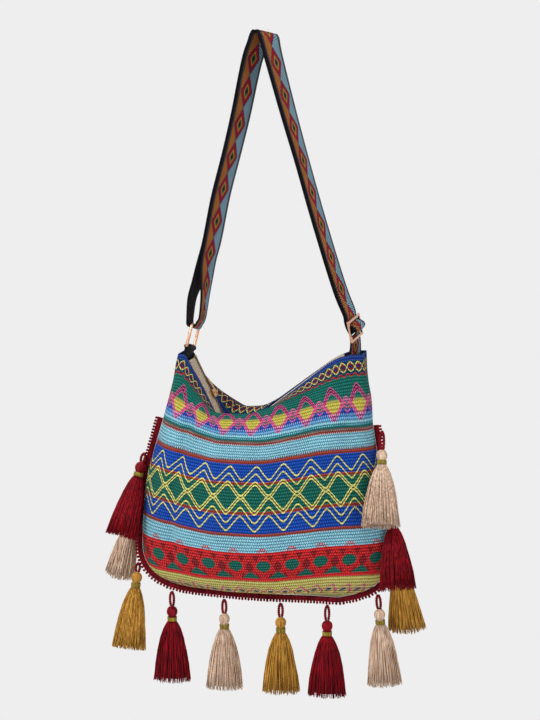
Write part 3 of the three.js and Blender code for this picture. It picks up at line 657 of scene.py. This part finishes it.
def metal_finish(name, tone, roughness):
    f = Finish(name, Metallic=1.0)
    worn = f.noise(90.0, 4.0)
    f.colour(f.mix(worn, [0.86 * v for v in tone], tone))
    feed(f.tree, worn * 0.16 + (roughness - 0.08), f.shader.inputs["Roughness"])
    f.bump(worn, distance=0.0001, strength=0.3)
    return f.material


FRONT_CLOTH = cloth_finish("cloth_front", 0.0)
BACK_CLOTH = cloth_finish("cloth_back", 9.0)
LINING = lining_finish()
WEBBING = webbing_finish()
BLACK_WEBBING = woven_finish("webbing_black", (34, 32, 38), (8, 7, 10), 1.6)
TAPE = woven_finish("zip_tape_weave", (244, 228, 204), (186, 160, 134), 1.2)
COIL = woven_finish("zip_coil_nylon", (186, 152, 112), (96, 70, 48), 1.0, roughness=0.45)
CRIMSON = yarn_finish("braid_crimson", (138, 8, 26), (52, 0, 8))
RED_YARN = yarn_finish("yarn_red", (156, 10, 28), (44, 0, 6))
BEIGE_YARN = yarn_finish("yarn_beige", (236, 208, 184), (150, 112, 88))
GOLD_YARN = yarn_finish("yarn_gold", (214, 160, 70), (116, 72, 20))
OLIVE_YARN = yarn_finish("yarn_olive", (166, 146, 54), (84, 70, 20))
ROSE_GOLD = metal_finish("rose_gold", (226, 172, 142), 0.24)
GOLD = metal_finish("zip_gold", (196, 148, 84), 0.26)


# Cloth panels
PANEL_ROWS, PANEL_COLUMNS, PANEL_THICK, CLOTH_ROUND = 106, 121, 1.8, 353.0


def small_folds(u, down, side):
    """Soft folds of a hand-held bag, always inward: 0 at the seams, the hem and the bottom."""
    calm = clamp(min(u, 1 - u) / 0.06) * clamp(down / 20) * clamp((LAST_DOWN - down) / 25)
    long_fold = 0.5 + 0.5 * math.sin((u * 9.0 + down * 0.018 * side) * 2.1 + side)
    short_fold = 0.5 + 0.5 * math.sin(u * 31 + math.sin(down * 0.03) * 1.6 + 0.7 * side)
    sideways = 0.5 + 0.5 * math.sin(down * 0.075 + u * 5.5)
    swell = math.sin(math.pi * down / LAST_DOWN)
    pinch = swell * ridge(u, 0.3 + 0.00025 * down, 0.035)
    slump = swell * ridge(u, 0.82 - 0.0004 * down, 0.05)
    waves = 2.0 * long_fold * sideways + 0.9 * short_fold * (1 - 0.5 * sideways)
    return calm * (waves + 2.4 * pinch + 1.6 * slump)


def shell_faces(rows, columns):
    """Faces of a sheet with an outer side, an inner side and a rim, and their slots: 1 is the lining's."""
    count = rows * columns
    last = count - columns
    outer = grid_faces(rows, columns)
    inner = [tuple(reversed(f)) for f in grid_faces(rows, columns, start=count)]
    rim = []
    for c in range(columns - 1):
        rim.append((c + 1, c, count + c, count + c + 1))
        rim.append((last + c, last + c + 1, count + last + c + 1, count + last + c))
    for r in range(rows - 1):
        a, b = r * columns, (r + 1) * columns
        rim.append((a, b, count + b, count + a))
        a, b = a + columns - 1, b + columns - 1
        rim.append((b, a, count + a, count + b))
    return outer + inner + rim, [0] * len(outer) + [1] * len(inner) + [0] * len(rim)


def cloth_normals(outer, side):
    """Unit normals that point out of the bag, and stay in the seam's plane along the seam."""
    normals = np.cross(np.gradient(outer, axis=1), np.gradient(outer, axis=0)) * -side
    middle = slice(PANEL_COLUMNS // 3, 2 * PANEL_COLUMNS // 3)
    normals *= np.sign(np.median(normals[:, middle, 1]) * side)
    normals[:, 0], normals[:, -1] = (-1, 0, 0), (1, 0, 0)
    normals[-1, :, 1] = 0
    return normals / np.linalg.norm(normals, axis=2, keepdims=True)


def panel(name, side, cloth):
    downs, shares = np.linspace(0, LAST_DOWN, PANEL_ROWS), np.linspace(0, 1, PANEL_COLUMNS)
    outer = np.array([[panel_point(u, d, side) for u in shares] for d in downs])
    normals = cloth_normals(outer, side)
    folds = np.array([[small_folds(u, d, side) for u in shares] for d in downs])
    outer = outer - normals * folds[..., None]
    inner = outer - normals * PANEL_THICK
    steps = np.linalg.norm(np.diff(outer, axis=1), axis=2)
    run = np.concatenate([np.zeros((PANEL_ROWS, 1)), np.cumsum(steps, axis=1)], axis=1)
    share = run / run[:, -1:]
    uv = [(s * CLOTH_ROUND / DM, d / DM) for row, d in zip(share, downs) for s in row]
    faces, slots = shell_faces(PANEL_ROWS, PANEL_COLUMNS)
    if side > 0:
        faces = [tuple(reversed(f)) for f in faces]
    points = [tuple(p) for p in outer.reshape(-1, 3)] + [tuple(p) for p in inner.reshape(-1, 3)]
    piece = mesh_object(name, points, faces, [cloth, LINING], uv=uv * 2, slots=slots)
    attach(piece, "bag")
    crossed = np.cross(outer[1:, :-1] - outer[:-1, :-1], outer[:-1, 1:] - outer[:-1, :-1])
    return piece


for side, word, cloth in ((-1, "front", FRONT_CLOTH), (1, "back", BACK_CLOTH)):
    piece = panel(f"{word}_cloth_panel", side, cloth)
    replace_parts(piece, f"{word}_panel")


# Zip: tapes, and a coil of nylon teeth on each
ZIP_FROM, ZIP_TO, ZIP_LIFT, ZIP_SUNK = 0.06, 0.88, 5.0, -6.0
COIL_GAP, COIL_WIDE, TAPE_THICK = 1.6, 2.2, 0.8
TAPE_STEPS, TAPE_SHARES = 120, (0, 0.33, 0.66, 1)


def mouth_place(across):
    """A point of the hem, moved to the middle between the two panels."""
    place = panel_point(math.acos(1 - 2 * across) / math.pi, 0, -1)
    place[1] = 0
    return place


def mouth_frame(across):
    """The hem's point, the way along it and the way out of the mouth."""
    way = mouth_place(across + 1e-3) - mouth_place(across - 1e-3)
    way /= np.linalg.norm(way)
    return mouth_place(across), way, np.array([-way[2], 0, way[0]])


def lift_at(across):
    """The open zip falls between the hems to the right of its slider."""
    return lerp(ZIP_LIFT, ZIP_SUNK, rise(across, 0.23, 0.34, 0.03))


def zip_tape(name, side):
    section = [(share, -1) for share in TAPE_SHARES] + [(share, 1) for share in reversed(TAPE_SHARES)]
    size = len(section)
    rings, uv = [], []
    shares = np.linspace(ZIP_FROM, ZIP_TO, TAPE_STEPS + 1)
    runs = run_along([mouth_place(across) for across in shares])
    for across, run in zip(shares, runs):
        place, _, out = mouth_frame(across)
        near = COIL_GAP / 2 + parted_by(across) + 0.5
        far = mouth_half(across) - CLOTH_THICK - SEAT_GAP
        for share, thick in section:
            aside = lerp(near, far, share)
            lift = lerp(lift_at(across) - 1.3, -TAPE_THICK / 2, share ** 0.8)
            point = place + out * (lift + thick * TAPE_THICK / 2)
            rings.append((point[0], side * aside, point[2]))
            uv.append((run / DM, aside / DM))
    faces = grid_faces(TAPE_STEPS + 1, size, closed_columns=True) + end_caps(TAPE_STEPS + 1, size)
    piece = mesh_object(name, rings, faces, TAPE, uv=uv, smooth=False)
    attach(piece, "bag")
    return piece


def zip_coil(name, side):
    fine = np.linspace(ZIP_FROM, ZIP_TO, 400)
    places = [mouth_frame(a) for a in fine]
    middles = np.array([p + out * lift_at(a) for a, (p, _, out) in zip(fine, places)])
    run = run_along(middles)
    pitch, turn_points, wire = 1.45, 8, 0.36
    count = int(run[-1] / pitch * turn_points)
    path = []
    for k in range(count):
        s = run[-1] * k / (count - 1)
        at = float(np.interp(s, run, np.arange(len(run))))
        i = int(min(at, len(fine) - 2))
        part = at - i
        middle = lerp(middles[i], middles[i + 1], part)
        out = places[i][2]
        across = lerp(fine[i], fine[i + 1], part)
        angle = 2 * math.pi * k / turn_points
        aside = COIL_GAP / 2 + parted_by(across) + COIL_WIDE / 2 + 0.72 * math.cos(angle)
        point = middle + out * (0.52 * math.sin(angle))
        path.append((point[0], side * aside, point[2]))
    bits = Bits()
    bits.tube(path, wire, sides=5)
    piece = bits.object(name, COIL)
    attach(piece, "bag")
    return piece


for side, word in ((-1, "front"), (1, "back")):
    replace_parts(zip_tape(f"zip_tape_{word}_woven", side), f"zip_tape_{word}")
    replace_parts(zip_coil(f"zip_coil_{word}_teeth", side), f"zip_coil_{word}")


def kept(name, material, bevel=0.00025):
    """A CAD node that stays, with its edges softened and its metal on it."""
    node = frame["nodes"][name]
    for holder in node.material_slots:
        holder.material = material
    softened = node.modifiers.new("soft_edges", "BEVEL")
    softened.width, softened.segments, softened.limit_method = bevel, 3, "ANGLE"
    softened.angle_limit = math.radians(35)
    softened.harden_normals = True


for name in ("zip_slider", "zip_pull", "zip_end_stop"):
    kept(name, GOLD)
kept("strap_slider", ROSE_GOLD, bevel=0.0009)


# Ribbons of webbing, by the same stations as the part
def unit(v):
    v = np.array(v, float)
    return v / np.linalg.norm(v)


def squared(v, wide):
    """The part of v at right angles to the way across, as a unit."""
    v = np.array(v, float)
    return unit(v - (v @ wide) * wide)


def station(point, wide):
    return np.array(point, float), np.array(wide, float)


def curve_points(points, per_span):
    """Uniform Catmull-Rom through the points, with the ends carried straight on."""
    p = np.array(points)
    p = np.vstack([2 * p[0] - p[1], p, 2 * p[-1] - p[-2]])
    out = []
    spans = len(points) - 1
    for k in range(spans * per_span + 1):
        i, t = divmod(k, per_span)
        if i == spans:
            i, t = spans - 1, per_span
        t = t / per_span
        a, b, c, d = p[i : i + 4]
        m0, m1 = 0.5 * (c - a), 0.5 * (d - b)
        t2, t3 = t * t, t * t * t
        near = (2 * t3 - 3 * t2 + 1) * b + (t3 - 2 * t2 + t) * m0
        out.append(near + (3 * t2 - 2 * t3) * c + (t3 - t2) * m1)
    return np.array(out)


# Corners of the webbing's section, as shares of half its width and half its thickness
SECTION = [(-0.985, -1), (-0.5, -1), (0, -1), (0.5, -1), (0.985, -1), (1, 0)]
SECTION += [(-w, -n) for w, n in SECTION]
REVERSE_SIDES, EDGE_UV = range(6, 10), (0.0, 0.17)


def ribbon(name, stations, material, per_span=6):
    middles = curve_points([s[0] for s in stations], per_span)
    wides = curve_points([s[1] for s in stations], per_span)
    ways = tangents(middles)
    run = run_along(middles)
    points = []
    for middle, wide, way in zip(middles, wides, ways):
        wide = squared(wide, way)
        thick = np.cross(way, wide)
        for w, n in SECTION:
            aside, off = w * WEBBING_WIDE / 2, n * WEBBING_THICK / 2
            points.append(tuple(middle + wide * aside + thick * off))
    count, size = len(middles), len(SECTION)
    faces, corner_uv = [], []
    for i in range(count - 1):
        for j in range(size):
            k = (j + 1) % size
            faces.append((i * size + j, i * size + k, (i + 1) * size + k, (i + 1) * size + j))
            reverse = 1.0 if j in REVERSE_SIDES else 0.0
            for at, column in ((i, j), (i, k), (i + 1, k), (i + 1, j)):
                across = SECTION[column][0] * WEBBING_WIDE / 2 / DM
                corner_uv.append((run[at] / DM, across + reverse))
    faces += end_caps(count, size)
    corner_uv += [EDGE_UV] * (2 * size)
    piece = mesh_object(name, points, faces, material, corner_uv=corner_uv)
    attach(piece, "bag")
    return piece


APEX_ACROSS = unit((0.475, 0.845, -0.12))
RIGHT_ACROSS, LEFT_ACROSS = unit((0.24, 0.97, 0)), unit((0.375, 0.927, 0))
APEX_ALONG = squared(unit((-0.87, 0.49, 0)), APEX_ACROSS)
APEX_OUT = np.cross(APEX_ACROSS, APEX_ALONG)
APEX_FLAT, TURNING_STATIONS = (-4.5, -1.5, 1.5, 4.5), 5
LAYER_OFFSET = (WEBBING_THICK + LAYER_GAP) / 2
APEX_MIDDLE = APEX_OUT * (LAYER_OFFSET + WEBBING_THICK / 2)
RIGHT_STRAND = [
    (98, -6.6, -316), (88, -5.5, -287), (76, -3, -250), (63, -1, -208), (47.5, -1, -154), (33, -3, -103),
    (21, -6, -58), (12.5, -7, -26), (8, -5.2, -9), (5.9, -3.3, -1.8),
]
LEFT_STRAND = [
    (-5.7, 3.2, -1.8), (-8.6, 3.9, -9), (-14.5, 4.6, -24), (-20.5, 4, -49), (-30, 2, -96), (-42, 0.5, -146),
    (-55, 0, -196), (-66, 0, -250),
]


def strap_middle():
    """Stations between the two layers, and which of them lie flat over the shoulder."""

    def turning(strand, across):
        turned = [clamp(1 - i / TURNING_STATIONS) for i in range(len(strand))]
        return [station(p, lerp(across, APEX_ACROSS, share)) for p, share in zip(strand, turned)]

    right = turning(RIGHT_STRAND[::-1], RIGHT_ACROSS)[::-1]
    apex = [station(APEX_MIDDLE + APEX_ALONG * s, APEX_ACROSS) for s in APEX_FLAT]
    left = turning(LEFT_STRAND, LEFT_ACROSS)
    return right + apex + left, range(len(right), len(right) + len(apex))


def strap_layer(offset):
    middle, flat = strap_middle()
    layer = []
    for i, (point, wide) in enumerate(middle):
        before, after = middle[max(0, i - 1)][0], middle[min(len(middle) - 1, i + 1)][0]
        out = APEX_OUT if i in flat else unit(np.cross(wide, unit(after - before)))
        layer.append(station(point + out * offset, wide))
    return layer


# The slider of the strap: its top bar's middle, and its bars
GLIDE_TOP, GLIDE_BAR, GLIDE_PITCH, GLIDE_THICK = np.array((112, -4.8, -345.5)), 3.0, 12.0, 2.4
GLIDE_WAYS = unit((0.17, 0.965, 0.14))
GLIDE_DOWN = squared((4, 0, -24.5), GLIDE_WAYS)
GLIDE_OUT = np.cross(GLIDE_DOWN, GLIDE_WAYS)
BESIDE_BAR = GLIDE_THICK / 2 + SEAT_GAP + WEBBING_THICK / 2
WRAP_RADIUS = math.hypot(GLIDE_BAR, GLIDE_THICK) / 2 + SEAT_GAP + WEBBING_THICK / 2


def at_glide(down, out):
    return station(GLIDE_TOP + GLIDE_DOWN * down + GLIDE_OUT * out, GLIDE_WAYS)


def strap_start():
    tail = [
        station((113, 0, -399), (0.3, 0.954, 0)),
        station((113.6, -0.2, -390), (0.27, 0.96, 0.03)),
        station((114.4, -0.7, -380), (0.21, 0.965, 0.09)),
    ]
    hump, pitch = WRAP_RADIUS + WEBBING_THICK + 1.8, GLIDE_PITCH
    through = [
        (2 * pitch + 1, -BESIDE_BAR), (2 * pitch - 2.6, -BESIDE_BAR + 0.2), (pitch + 7, -0.3),
        (pitch + 5, 3), (pitch + 2.5, hump - 0.8), (pitch, hump), (pitch - 2.5, hump - 0.8),
        (pitch - 5, 3), (pitch - 7, -0.3), (2.6, -BESIDE_BAR + 0.2), (-1, -BESIDE_BAR), (-9, -BESIDE_BAR),
    ]
    return tail + [at_glide(*p) for p in through]


def strap_end():
    inner = BESIDE_BAR + WEBBING_THICK + LAYER_GAP
    approach = [at_glide(-9, -inner), at_glide(-1, -inner), at_glide(6, -inner + 0.5)]
    turns = [math.radians(a) for a in (0, 45, 90, 135, 180, 225)]
    round_bar = [(GLIDE_PITCH + WRAP_RADIUS * math.sin(a), -WRAP_RADIUS * math.cos(a)) for a in turns]
    return approach + [at_glide(*p) for p in round_bar]


# The ring: the middles of its lower and upper bars, and the way along them
RING_FOOT, RING_TOP = np.array((-95, 1.2, -386)), np.array((-89, 1.2, -358.4))
RING_WAYS, RING_CORNER, WIRE = np.array((0, 0.985, -0.174)), 3.0, 1.9
RING_TALL = float(np.linalg.norm(RING_TOP - RING_FOOT))
RING_UP = squared(RING_TOP - RING_FOOT, RING_WAYS)
RING_OUT = np.cross(RING_WAYS, RING_UP)
RING_HEAD = RING_FOOT + RING_UP * RING_TALL


def ring_loop():
    play, under = 4.2, WIRE + 1.5 * SEAT_GAP + WEBBING_THICK / 2

    def free(point, share):
        return station(point, lerp(LEFT_ACROSS, RING_WAYS, share))

    def near(out, up):
        return station(RING_HEAD + RING_OUT * out + RING_UP * up, RING_WAYS)

    return [
        free((-76, 1.6, -277), 0.2), free((-84, 4, -300), 0.5), free((-92.5, 5.8, -323), 0.85),
        near(-10, 12), near(-8.3, 3), near(-play - 0.85 * under, -0.5 * under), near(-play, -under),
        near(0, -under), near(0.85 * under, -0.5 * under), near(play, 3), near(6, 12),
        free((-76.5, 5.8, -323), 0.85), free((-74, 4, -300), 0.5), free((-71, 1.6, -277), 0.2),
    ]


strap_route = strap_start() + strap_layer(LAYER_OFFSET) + ring_loop()
strap_route += strap_layer(-LAYER_OFFSET)[::-1] + strap_end()
strap = ribbon("strap_jacquard", strap_route, WEBBING)
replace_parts(strap, "strap_webbing")


TAB_LONG, TAB_SPLIT, TAB_ASIDE = 14.6, 8, 1.2


def tab_stations():
    """The tab goes up one side of the ring's lower bar, over it and down the other side."""
    radius = WIRE + SEAT_GAP + WEBBING_THICK / 2
    up = squared((0.28, 0, 0.96), RING_WAYS)
    out = np.cross(RING_WAYS, up)
    end, split = RING_FOOT - up * TAB_LONG, RING_FOOT - up * TAB_SPLIT
    fold = []
    for angle in (-150, -105, -60, 0, 60, 105, 150):
        a = math.radians(angle)
        fold.append(RING_FOOT + up * (radius * math.cos(a)) + out * (radius * math.sin(a)))
    before = [p - out * TAB_ASIDE for p in (end, split)]
    after = [p + out * TAB_ASIDE for p in (split, end)]
    return [station(p, RING_WAYS) for p in before + fold + after]


tab = ribbon("ring_tab_webbing", tab_stations(), BLACK_WEBBING)
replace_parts(tab, "ring_tab")


def ring_wire():
    radius, half = RING_CORNER, WEBBING_WIDE / 2 + SEAT_GAP + RING_CORNER
    path = []
    corners = (
        (half - radius, radius, -90), (half - radius, RING_TALL - radius, 0),
        (radius - half, RING_TALL - radius, 90), (radius - half, radius, 180),
    )
    for aside, up, start in corners:
        for turn in range(0, 91, 10):
            a = math.radians(start + turn)
            across, tall = aside + radius * math.cos(a), up + radius * math.sin(a)
            path.append(RING_FOOT + RING_WAYS * across + RING_UP * tall)
    bits = Bits()
    bits.tube(path, WIRE, sides=16, closed=True)
    return bits.object("ring_wire_rose_gold", ROSE_GOLD)


ring = ring_wire()
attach(ring, "ring")
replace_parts(ring, "strap_ring")


# Braid in the seam
BRAID_FROM, CORE_HALF, CORD_REACH, LOOP_PITCH, LOOP_REACH = 88, 0.3, 0.75, 4.0, 9.1


def seam_path():
    left = [panel_point(0, d, -1) for d in np.linspace(BRAID_FROM, LAST_DOWN, 40)]
    bottom = [panel_point(u, LAST_DOWN, -1) for u in np.linspace(0, 1, 60)[1:-1]]
    right = [panel_point(1, d, -1) for d in np.linspace(LAST_DOWN, BRAID_FROM, 40)]
    rough = np.array(left + bottom + right)
    rough[:, 1] = 0
    return rough, run_along(rough)


SEAM, SEAM_RUN = seam_path()


def seam_place(s):
    return np.array([np.interp(s, SEAM_RUN, SEAM[:, k]) for k in range(3)])


def at_seam(s, away, deep, reach=6):
    """A point at a run along the seam, away from the bag and off the seam's plane."""
    way = unit(seam_place(s + reach) - seam_place(s - reach))
    point = seam_place(s) + np.array([way[2], 0, -way[0]]) * away
    return (point[0], deep, point[2])


def braid():
    """Gimp: a thin core and two lengthwise cords, with hairpin loops of cord laid close across them."""
    bits = Bits()
    long = float(SEAM_RUN[-1])
    stops = np.linspace(0, long, int(long / 3))
    section = ((0.4, -CORE_HALF), (7.2, -CORE_HALF), (7.2, CORE_HALF), (0.4, CORE_HALF))
    core = [at_seam(s, away, deep) for s in stops for away, deep in section]
    bits.add(core, grid_faces(len(stops), 4, closed_columns=True) + end_caps(len(stops), 4))
    wavy = np.linspace(1, long - 1, int(long))
    for away in (1.3, 5.2):
        for deep in (-CORD_REACH, CORD_REACH):
            bits.tube([at_seam(s, away + 0.5 * math.sin(s * 3.7), deep) for s in wavy], 0.5, sides=5)
    loops = int(long / LOOP_PITCH)
    for k in range(loops):
        middle = long * (k + 0.5) / loops
        half, reach = 0.8, LOOP_REACH + rng.uniform(-0.3, 0.3)
        lift = 0.28 * (-1) ** k
        bow = [(-half, 0.9), (-half, 3.4), (-half, 6.2), (-half * 0.8, reach - 1.3), (-half * 0.9, reach)]
        bow = bow + [(0.0, reach + 0.8)] + [(-aside, away) for aside, away in reversed(bow)]
        path = [at_seam(middle + aside, away, lift + 0.12 * math.sin(away * 1.3)) for aside, away in bow]
        plump = [0.85, 0.9, 0.85, 0.8, 1.0, 1.1, 1.0, 0.8, 0.85, 0.9, 0.85]
        bits.tube(path, plump, sides=6)
    piece = bits.object("braid_gimp", CRIMSON)
    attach(piece, "bag")
    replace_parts(piece, "braid_trim")


braid()


# Tassels, down the left side, along the bottom and up the right side: tint, how far it leans outward and
# forward in degrees, the cord loop's length and half the skirt's width. Each hangs where its joint turns.
TASSELS = [
    ("red", 13, 18, 11, 20),
    ("beige", 17, -16, 18, 19),
    ("gold", 5, 11, 11, 22),
    ("red", 0, 0, 18.5, 24.5),
    ("beige", 0, 0, 18, 24),
    ("gold", 0, 0, 17.5, 25),
    ("red", 0, 0, 19, 25),
    ("beige", -5, 0, 18, 22),
    ("gold", -6, -15, 16, 24),
    ("red", -7, 19, 17, 23),
    ("beige", -3, 28, 24, 24),
]
HANGS = {joint["child"]: np.array(joint["pos_m"]) / MM for joint in frame["joints"] if "pos_m" in joint}
YARNS = {"red": RED_YARN, "beige": BEIGE_YARN, "gold": GOLD_YARN}
NECK, SKIRT_TOP, SKIRT_DEEP, SKIRT_LONG, STRANDS = 4.6, 18.6, 15.0, 97.0, 270
BAND_TOP, BAND_TALL, BAND_RADIUS, BAND_WIRE = 13.4, 5.8, 5.6, 0.68
CORD_HALF, CORD_OFFSET, CORD_RADIUS, CORD_TWIST = 2.5, 0.85, 1.08, 5.5
# The head's outline: how far down from its top, and its radius
HEAD = [(0, 1.6), (0.8, 3.6), (2.4, 5.4), (4.6, 6.4), (6.8, 6.8), (9.2, 6.5), (11, 5.8), (12.6, 4.9)]
HEAD += [(13.6, 4.4), (19.6, 4.4)]


def placed(bits, at, lean, forward, drop):
    """Turns and moves points from a tassel's own frame, whose top is the head's, to the part's frame."""
    a, b = math.radians(lean), math.radians(-forward)
    turn_y = np.array([[math.cos(a), 0, math.sin(a)], [0, 1, 0], [-math.sin(a), 0, math.cos(a)]])
    turn_x = np.array([[1, 0, 0], [0, math.cos(b), -math.sin(b)], [0, math.sin(b), math.cos(b)]])
    local = np.array(bits.points) - np.array([0, 0, drop])
    bits.points = [tuple(p) for p in local @ (turn_y @ turn_x).T + at]


def skirt_half(down, full):
    """Half the skirt's width or depth at a distance below the head's top."""
    stops = [19.0, 24.0, 34.0, 47.3, 74.0, SKIRT_LONG]
    shares = [0.0, 0.19, 0.41, 0.6, 0.84, 1.0]
    return lerp(NECK, full, float(np.interp(down, stops, shares)))


def fluted(rows, sides, middle, flute):
    """Rings of points with a ridge at every second one. A row is its way down and its two half widths."""
    points = []
    for down, wide, deep in rows:
        for k in range(sides):
            a, r = 2 * math.pi * k / sides, middle + flute * (-1) ** k
            points.append((wide * r * math.cos(a), deep * r * math.sin(a), -down))
    return points


def strand(number, wide):
    """The path of one yarn of the skirt, from under the band to its loose end."""
    a = 2 * math.pi * (number + rng.random()) / STRANDS
    share = 0.8 + 0.21 * rng.random() - 0.05 * (math.sin(number * 0.55) > 0.5)
    end = SKIRT_LONG - 2.5 + 4.0 * rng.random()
    drift, sway, phase = rng.uniform(-0.1, 0.1), rng.uniform(0.2, 0.8), rng.uniform(0, 6.3)
    path = []
    for down in (SKIRT_TOP, 23, 30, 42, 58, 76, end):
        t = (down - SKIRT_TOP) / (end - SKIRT_TOP)
        angle, bulge = a + drift * t, share + 0.03 * math.sin(phase + 5 * t)
        x = skirt_half(down, wide) * bulge * math.cos(angle) + sway * t * math.sin(phase + 4 * t)
        y = skirt_half(down, SKIRT_DEEP) * bulge * math.sin(angle) + sway * t * math.cos(phase + 3 * t)
        path.append((x, y, -down))
    return path


def hank(wide):
    """The head, a fluted core inside the skirt, and the skirt's yarns round it."""
    bits = Bits()
    sides = 44
    head = fluted([(down, radius, radius) for down, radius in HEAD], sides, 1, 0.035)
    faces = grid_faces(len(HEAD), sides, closed_columns=True) + [tuple(range(sides))]
    bits.add(head, [tuple(reversed(f)) for f in faces])
    sides, downs = 28, (19.2, 22, 26, 34, 47, 60, 74, 86, 93)
    rows = [(down, skirt_half(down, wide), skirt_half(down, SKIRT_DEEP)) for down in downs]
    core = fluted(rows, sides, 0.76, 0.03)
    faces = grid_faces(len(downs), sides, closed_columns=True) + end_caps(len(downs), sides)
    bits.add(core, [tuple(reversed(f)) for f in faces])
    for number in range(STRANDS):
        bits.tube(strand(number, wide), [0.5, 0.6, 0.7, 0.75, 0.75, 0.7, 0.4], sides=3)
    return bits


def cord_loop(drop):
    """Two yarns twisted round each other, in a loop that hangs from its top."""
    half, bottom = CORD_HALF, -drop + 0.6
    knots = [(-1.6, bottom), (-half, bottom * 0.62), (-half * 0.8, bottom * 0.22), (0, 0)]
    knots += [(-x, z) for x, z in reversed(knots[:-1])]
    middle = curve_points([np.array((x, 0, z)) for x, z in knots], 10)
    ways = tangents(middle)
    run = run_along(middle)
    bits = Bits()
    for start in (0, math.pi):
        path = []
        for point, way, s in zip(middle, ways, run):
            a = start + 2 * math.pi * s / CORD_TWIST
            aside = np.cross(way, (0, 1, 0)) * (CORD_OFFSET * math.cos(a))
            path.append(point + aside + np.array((0, CORD_OFFSET * math.sin(a), 0)))
        bits.tube(path, CORD_RADIUS, sides=6)
    return bits


def binding():
    """The band's yarn, wound round the neck."""
    bits = Bits()
    turns, per_turn, margin = 5, 20, 0.6
    path = []
    for k in range(turns * per_turn + 1):
        a = 2 * math.pi * k / per_turn
        down = BAND_TOP + margin + (BAND_TALL - 2 * margin) * k / (turns * per_turn)
        path.append((BAND_RADIUS * math.cos(a), BAND_RADIUS * math.sin(a), -down))
    bits.tube(path, BAND_WIRE, sides=6)
    return bits


for number, (tint, lean, forward, drop, wide) in enumerate(TASSELS, 1):
    stem = f"tassel_{number:02d}"
    pieces = (
        ("cord", cord_loop(drop), 0, CRIMSON, "red_yarn"),
        ("hank", hank(wide), drop, YARNS[tint], f"{tint}_yarn"),
        ("band", binding(), drop, OLIVE_YARN, "olive_yarn"),
    )
    for word, bits, below, material, slot in pieces:
        placed(bits, HANGS[stem], lean, forward, below)
        piece = bits.object(f"{stem}_{word}_yarn", material)
        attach(piece, stem)
        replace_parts(piece, f"{stem}_{tint}_{word}")


# Stage: a pale floor far below, soft lights and a plain pale background
WORLD_LIGHT, BACKGROUND, LIT_PLACE = 0.46, (238, 238, 238), Vector((0, 0, -0.4))


def backdrop():
    """A floor that catches the shadow, and glows like the background further out."""
    floor_mesh = bmesh.new()
    bmesh.ops.create_circle(floor_mesh, cap_ends=True, segments=96, radius=3.0)
    data = bpy.data.meshes.new("floor")
    floor_mesh.to_mesh(data)
    floor_mesh.free()
    floor = add_object("floor", data)
    floor.location = (0, 0, -1.0)
    f = Finish("floor_pale", Roughness=1.0, Specular_IOR_Level=0.0)
    f.shader.inputs["Base Color"].default_value = colour((222, 222, 222))
    x, y, _ = f.split(f.coordinates("Object"))
    away = (x * x + y * y).op("SQRT")
    glow = new_node(f.tree, "Emission", Color=colour(BACKGROUND))
    faded = mixed_shaders(f.tree, away.above(0.1, 0.5), f.shader.outputs[0], glow.outputs[0])
    feed(f.tree, faded, f.tree.nodes["Material Output"].inputs["Surface"])
    data.materials.append(f.material)


def world():
    """A soft light from all round. The camera and reflections see the plain background instead."""
    sky = bpy.data.worlds.new("studio")
    bpy.context.scene.world = sky
    sky.use_nodes = True
    tree = sky.node_tree
    seen = tree.nodes["Background"]
    feed(tree, colour(BACKGROUND), seen.inputs["Color"])
    light = new_node(tree, "Background", Color=(1.0, 0.985, 0.96, 1.0), Strength=WORLD_LIGHT)
    rays = new_node(tree, "LightPath").outputs
    sees = Sum(tree, rays["Is Camera Ray"])
    for ray in ("Is Glossy Ray", "Is Transmission Ray"):
        sees = sees.op("MAXIMUM", rays[ray])
    lit = mixed_shaders(tree, sees, light.outputs[0], seen.outputs[0])
    feed(tree, lit, tree.nodes["World Output"].inputs["Surface"])


def lamp(name, at, size, power):
    data = bpy.data.lights.new(name, "AREA")
    data.shape, data.size, data.energy = "DISK", size, power
    aim(add_object(name, data), Vector(at), LIT_PLACE)


backdrop()
world()
lamp("key", (-1.2, -1.8, 0.8), 0.9, 40)
lamp("fill", (1.8, -1.4, 0.1), 1.4, 10)
lamp("top", (0.2, 0.3, 1.6), 1.4, 16)

scene = bpy.context.scene
scene.render.resolution_x, scene.render.resolution_y = 540, 720
scene.view_settings.view_transform = "Standard"
